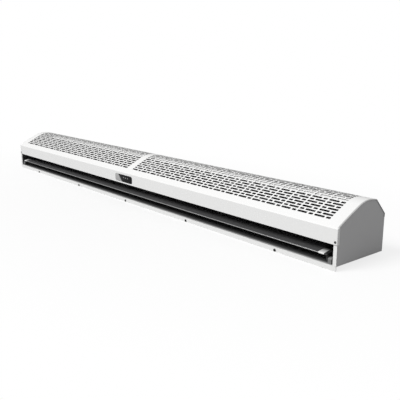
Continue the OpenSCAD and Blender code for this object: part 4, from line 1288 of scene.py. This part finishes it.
class AIRCURTAIN_OT_stage(bpy.types.Operator):
    """Builds the floor, the soft studio light and the camera"""

    bl_idname = "aircurtain.stage"
    bl_label = "Build the stage"

    def execute(self, context):
        s, scene = context.scene.air_curtain_stage, context.scene
        self.floor(s)
        self.world(scene, s)
        lamp = bpy.data.lights.new("key_light", "SUN")
        lamp.energy = s.key
        lamp.angle = s.key_size
        sun = linked("key_light", lamp)
        sun.rotation_euler = Vector(s.key_way).to_track_quat("-Z", "Y").to_euler()
        camera = bpy.data.cameras.new("camera")
        camera.lens = s.focal_length
        camera.sensor_width = 36.0
        camera.clip_start = 0.05
        camera.clip_end = 60.0
        stand = linked("camera", camera)
        stand.location = s.camera_place
        stand.rotation_euler = (s.camera_tilt, 0.0, s.camera_turn)
        scene.camera = stand
        scene.view_settings.view_transform = "Standard"
        return {"FINISHED"}

    def floor(self, s):
        """A pale floor that keeps the shadow near the object and turns white further away."""
        mesh = bpy.data.meshes.new("floor")
        reach, low = 14.0, CAD_BOX[0].z - 0.2 * MM
        near, far, shadow, squeeze = 0.1, 0.9, 0.55, (0.6, 1.0, 0.0)
        corners = [(x * reach, y * reach, low) for x, y in ((-1, -1), (1, -1), (1, 1), (-1, 1))]
        mesh.from_pydata(corners, [], [[0, 1, 2, 3]])
        floor = linked("floor", mesh)
        made = bpy.data.materials.new("floor")
        made.use_nodes = True
        t = Tree(made.node_tree)
        seen = t.get("ShaderNodeLightPath", out="Is Camera Ray")
        shader = t.fill(t.own("BSDF_PRINCIPLED"), {
            "Base Color": t.mix(seen, s.floor, s.floor_seen), "Roughness": 0.9, "Specular IOR Level": 0.1,
        })
        away = t.vector("LENGTH", t.vector("MULTIPLY", t.place(), squeeze), out="Value")
        fade = t.ramp(away, near, far, shadow, 1.0)
        white = t.get("ShaderNodeEmission", {"Color": (1.0, 1.0, 1.0, 1.0), "Strength": 1.0})
        mix = t.get("ShaderNodeMixShader", {0: fade * seen, 1: t.out(shader, 0), 2: white})
        t.fill(t.own("OUTPUT_MATERIAL"), {0: mix})
        mesh.materials.append(made)

    def world(self, scene, s):
        """White where the camera looks past the object, a soft even light for everything else."""
        world = bpy.data.worlds.new("studio")
        scene.world = world
        world.use_nodes = True
        t = Tree(world.node_tree)
        white = (1.0, 1.0, 1.0, 1.0)
        light = t.fill(t.own("BACKGROUND"), {"Color": white, "Strength": s.ambient})
        behind = t.get("ShaderNodeBackground", {"Color": white, "Strength": 1.0})
        seen = t.get("ShaderNodeLightPath", out="Is Camera Ray")
        mix = t.get("ShaderNodeMixShader", {0: seen, 1: t.out(light, 0), 2: behind})
        t.fill(t.own("OUTPUT_WORLD"), {0: mix})


STEPS = (
    AIRCURTAIN_OT_frame_finish,
    AIRCURTAIN_OT_cover,
    AIRCURTAIN_OT_display,
    AIRCURTAIN_OT_wheels,
    AIRCURTAIN_OT_screws,
    AIRCURTAIN_OT_stage,
)


class AIRCURTAIN_PT_panel(bpy.types.Panel):
    """Lists the settings and the steps of the air curtain."""

    bl_label = "Air curtain"
    bl_idname = "AIRCURTAIN_PT_panel"
    bl_space_type = "VIEW_3D"
    bl_region_type = "UI"
    bl_category = "Air curtain"

    def draw(self, context):
        for name in SETTINGS:
            group = getattr(context.scene, name)
            box = self.layout.box()
            box.label(text=name.replace("_", " "))
            for key in group.__annotations__:
                box.prop(group, key)
        for step in STEPS:
            self.layout.operator(step.bl_idname)


def register():
    for group in SETTINGS.values():
        bpy.utils.register_class(group)
    for name, group in SETTINGS.items():
        setattr(bpy.types.Scene, name, bpy.props.PointerProperty(type=group))
    for step in (*STEPS, AIRCURTAIN_PT_panel):
        bpy.utils.register_class(step)


def unregister():
    for step in reversed((*STEPS, AIRCURTAIN_PT_panel)):
        bpy.utils.unregister_class(step)
    for name, group in SETTINGS.items():
        delattr(bpy.types.Scene, name)
        bpy.utils.unregister_class(group)


def main():
    """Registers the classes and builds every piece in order."""
    register()
    for step in STEPS:
        family, name = step.bl_idname.split(".")
        getattr(getattr(bpy.ops, family), name)()


if __name__ == "__main__":
    main()
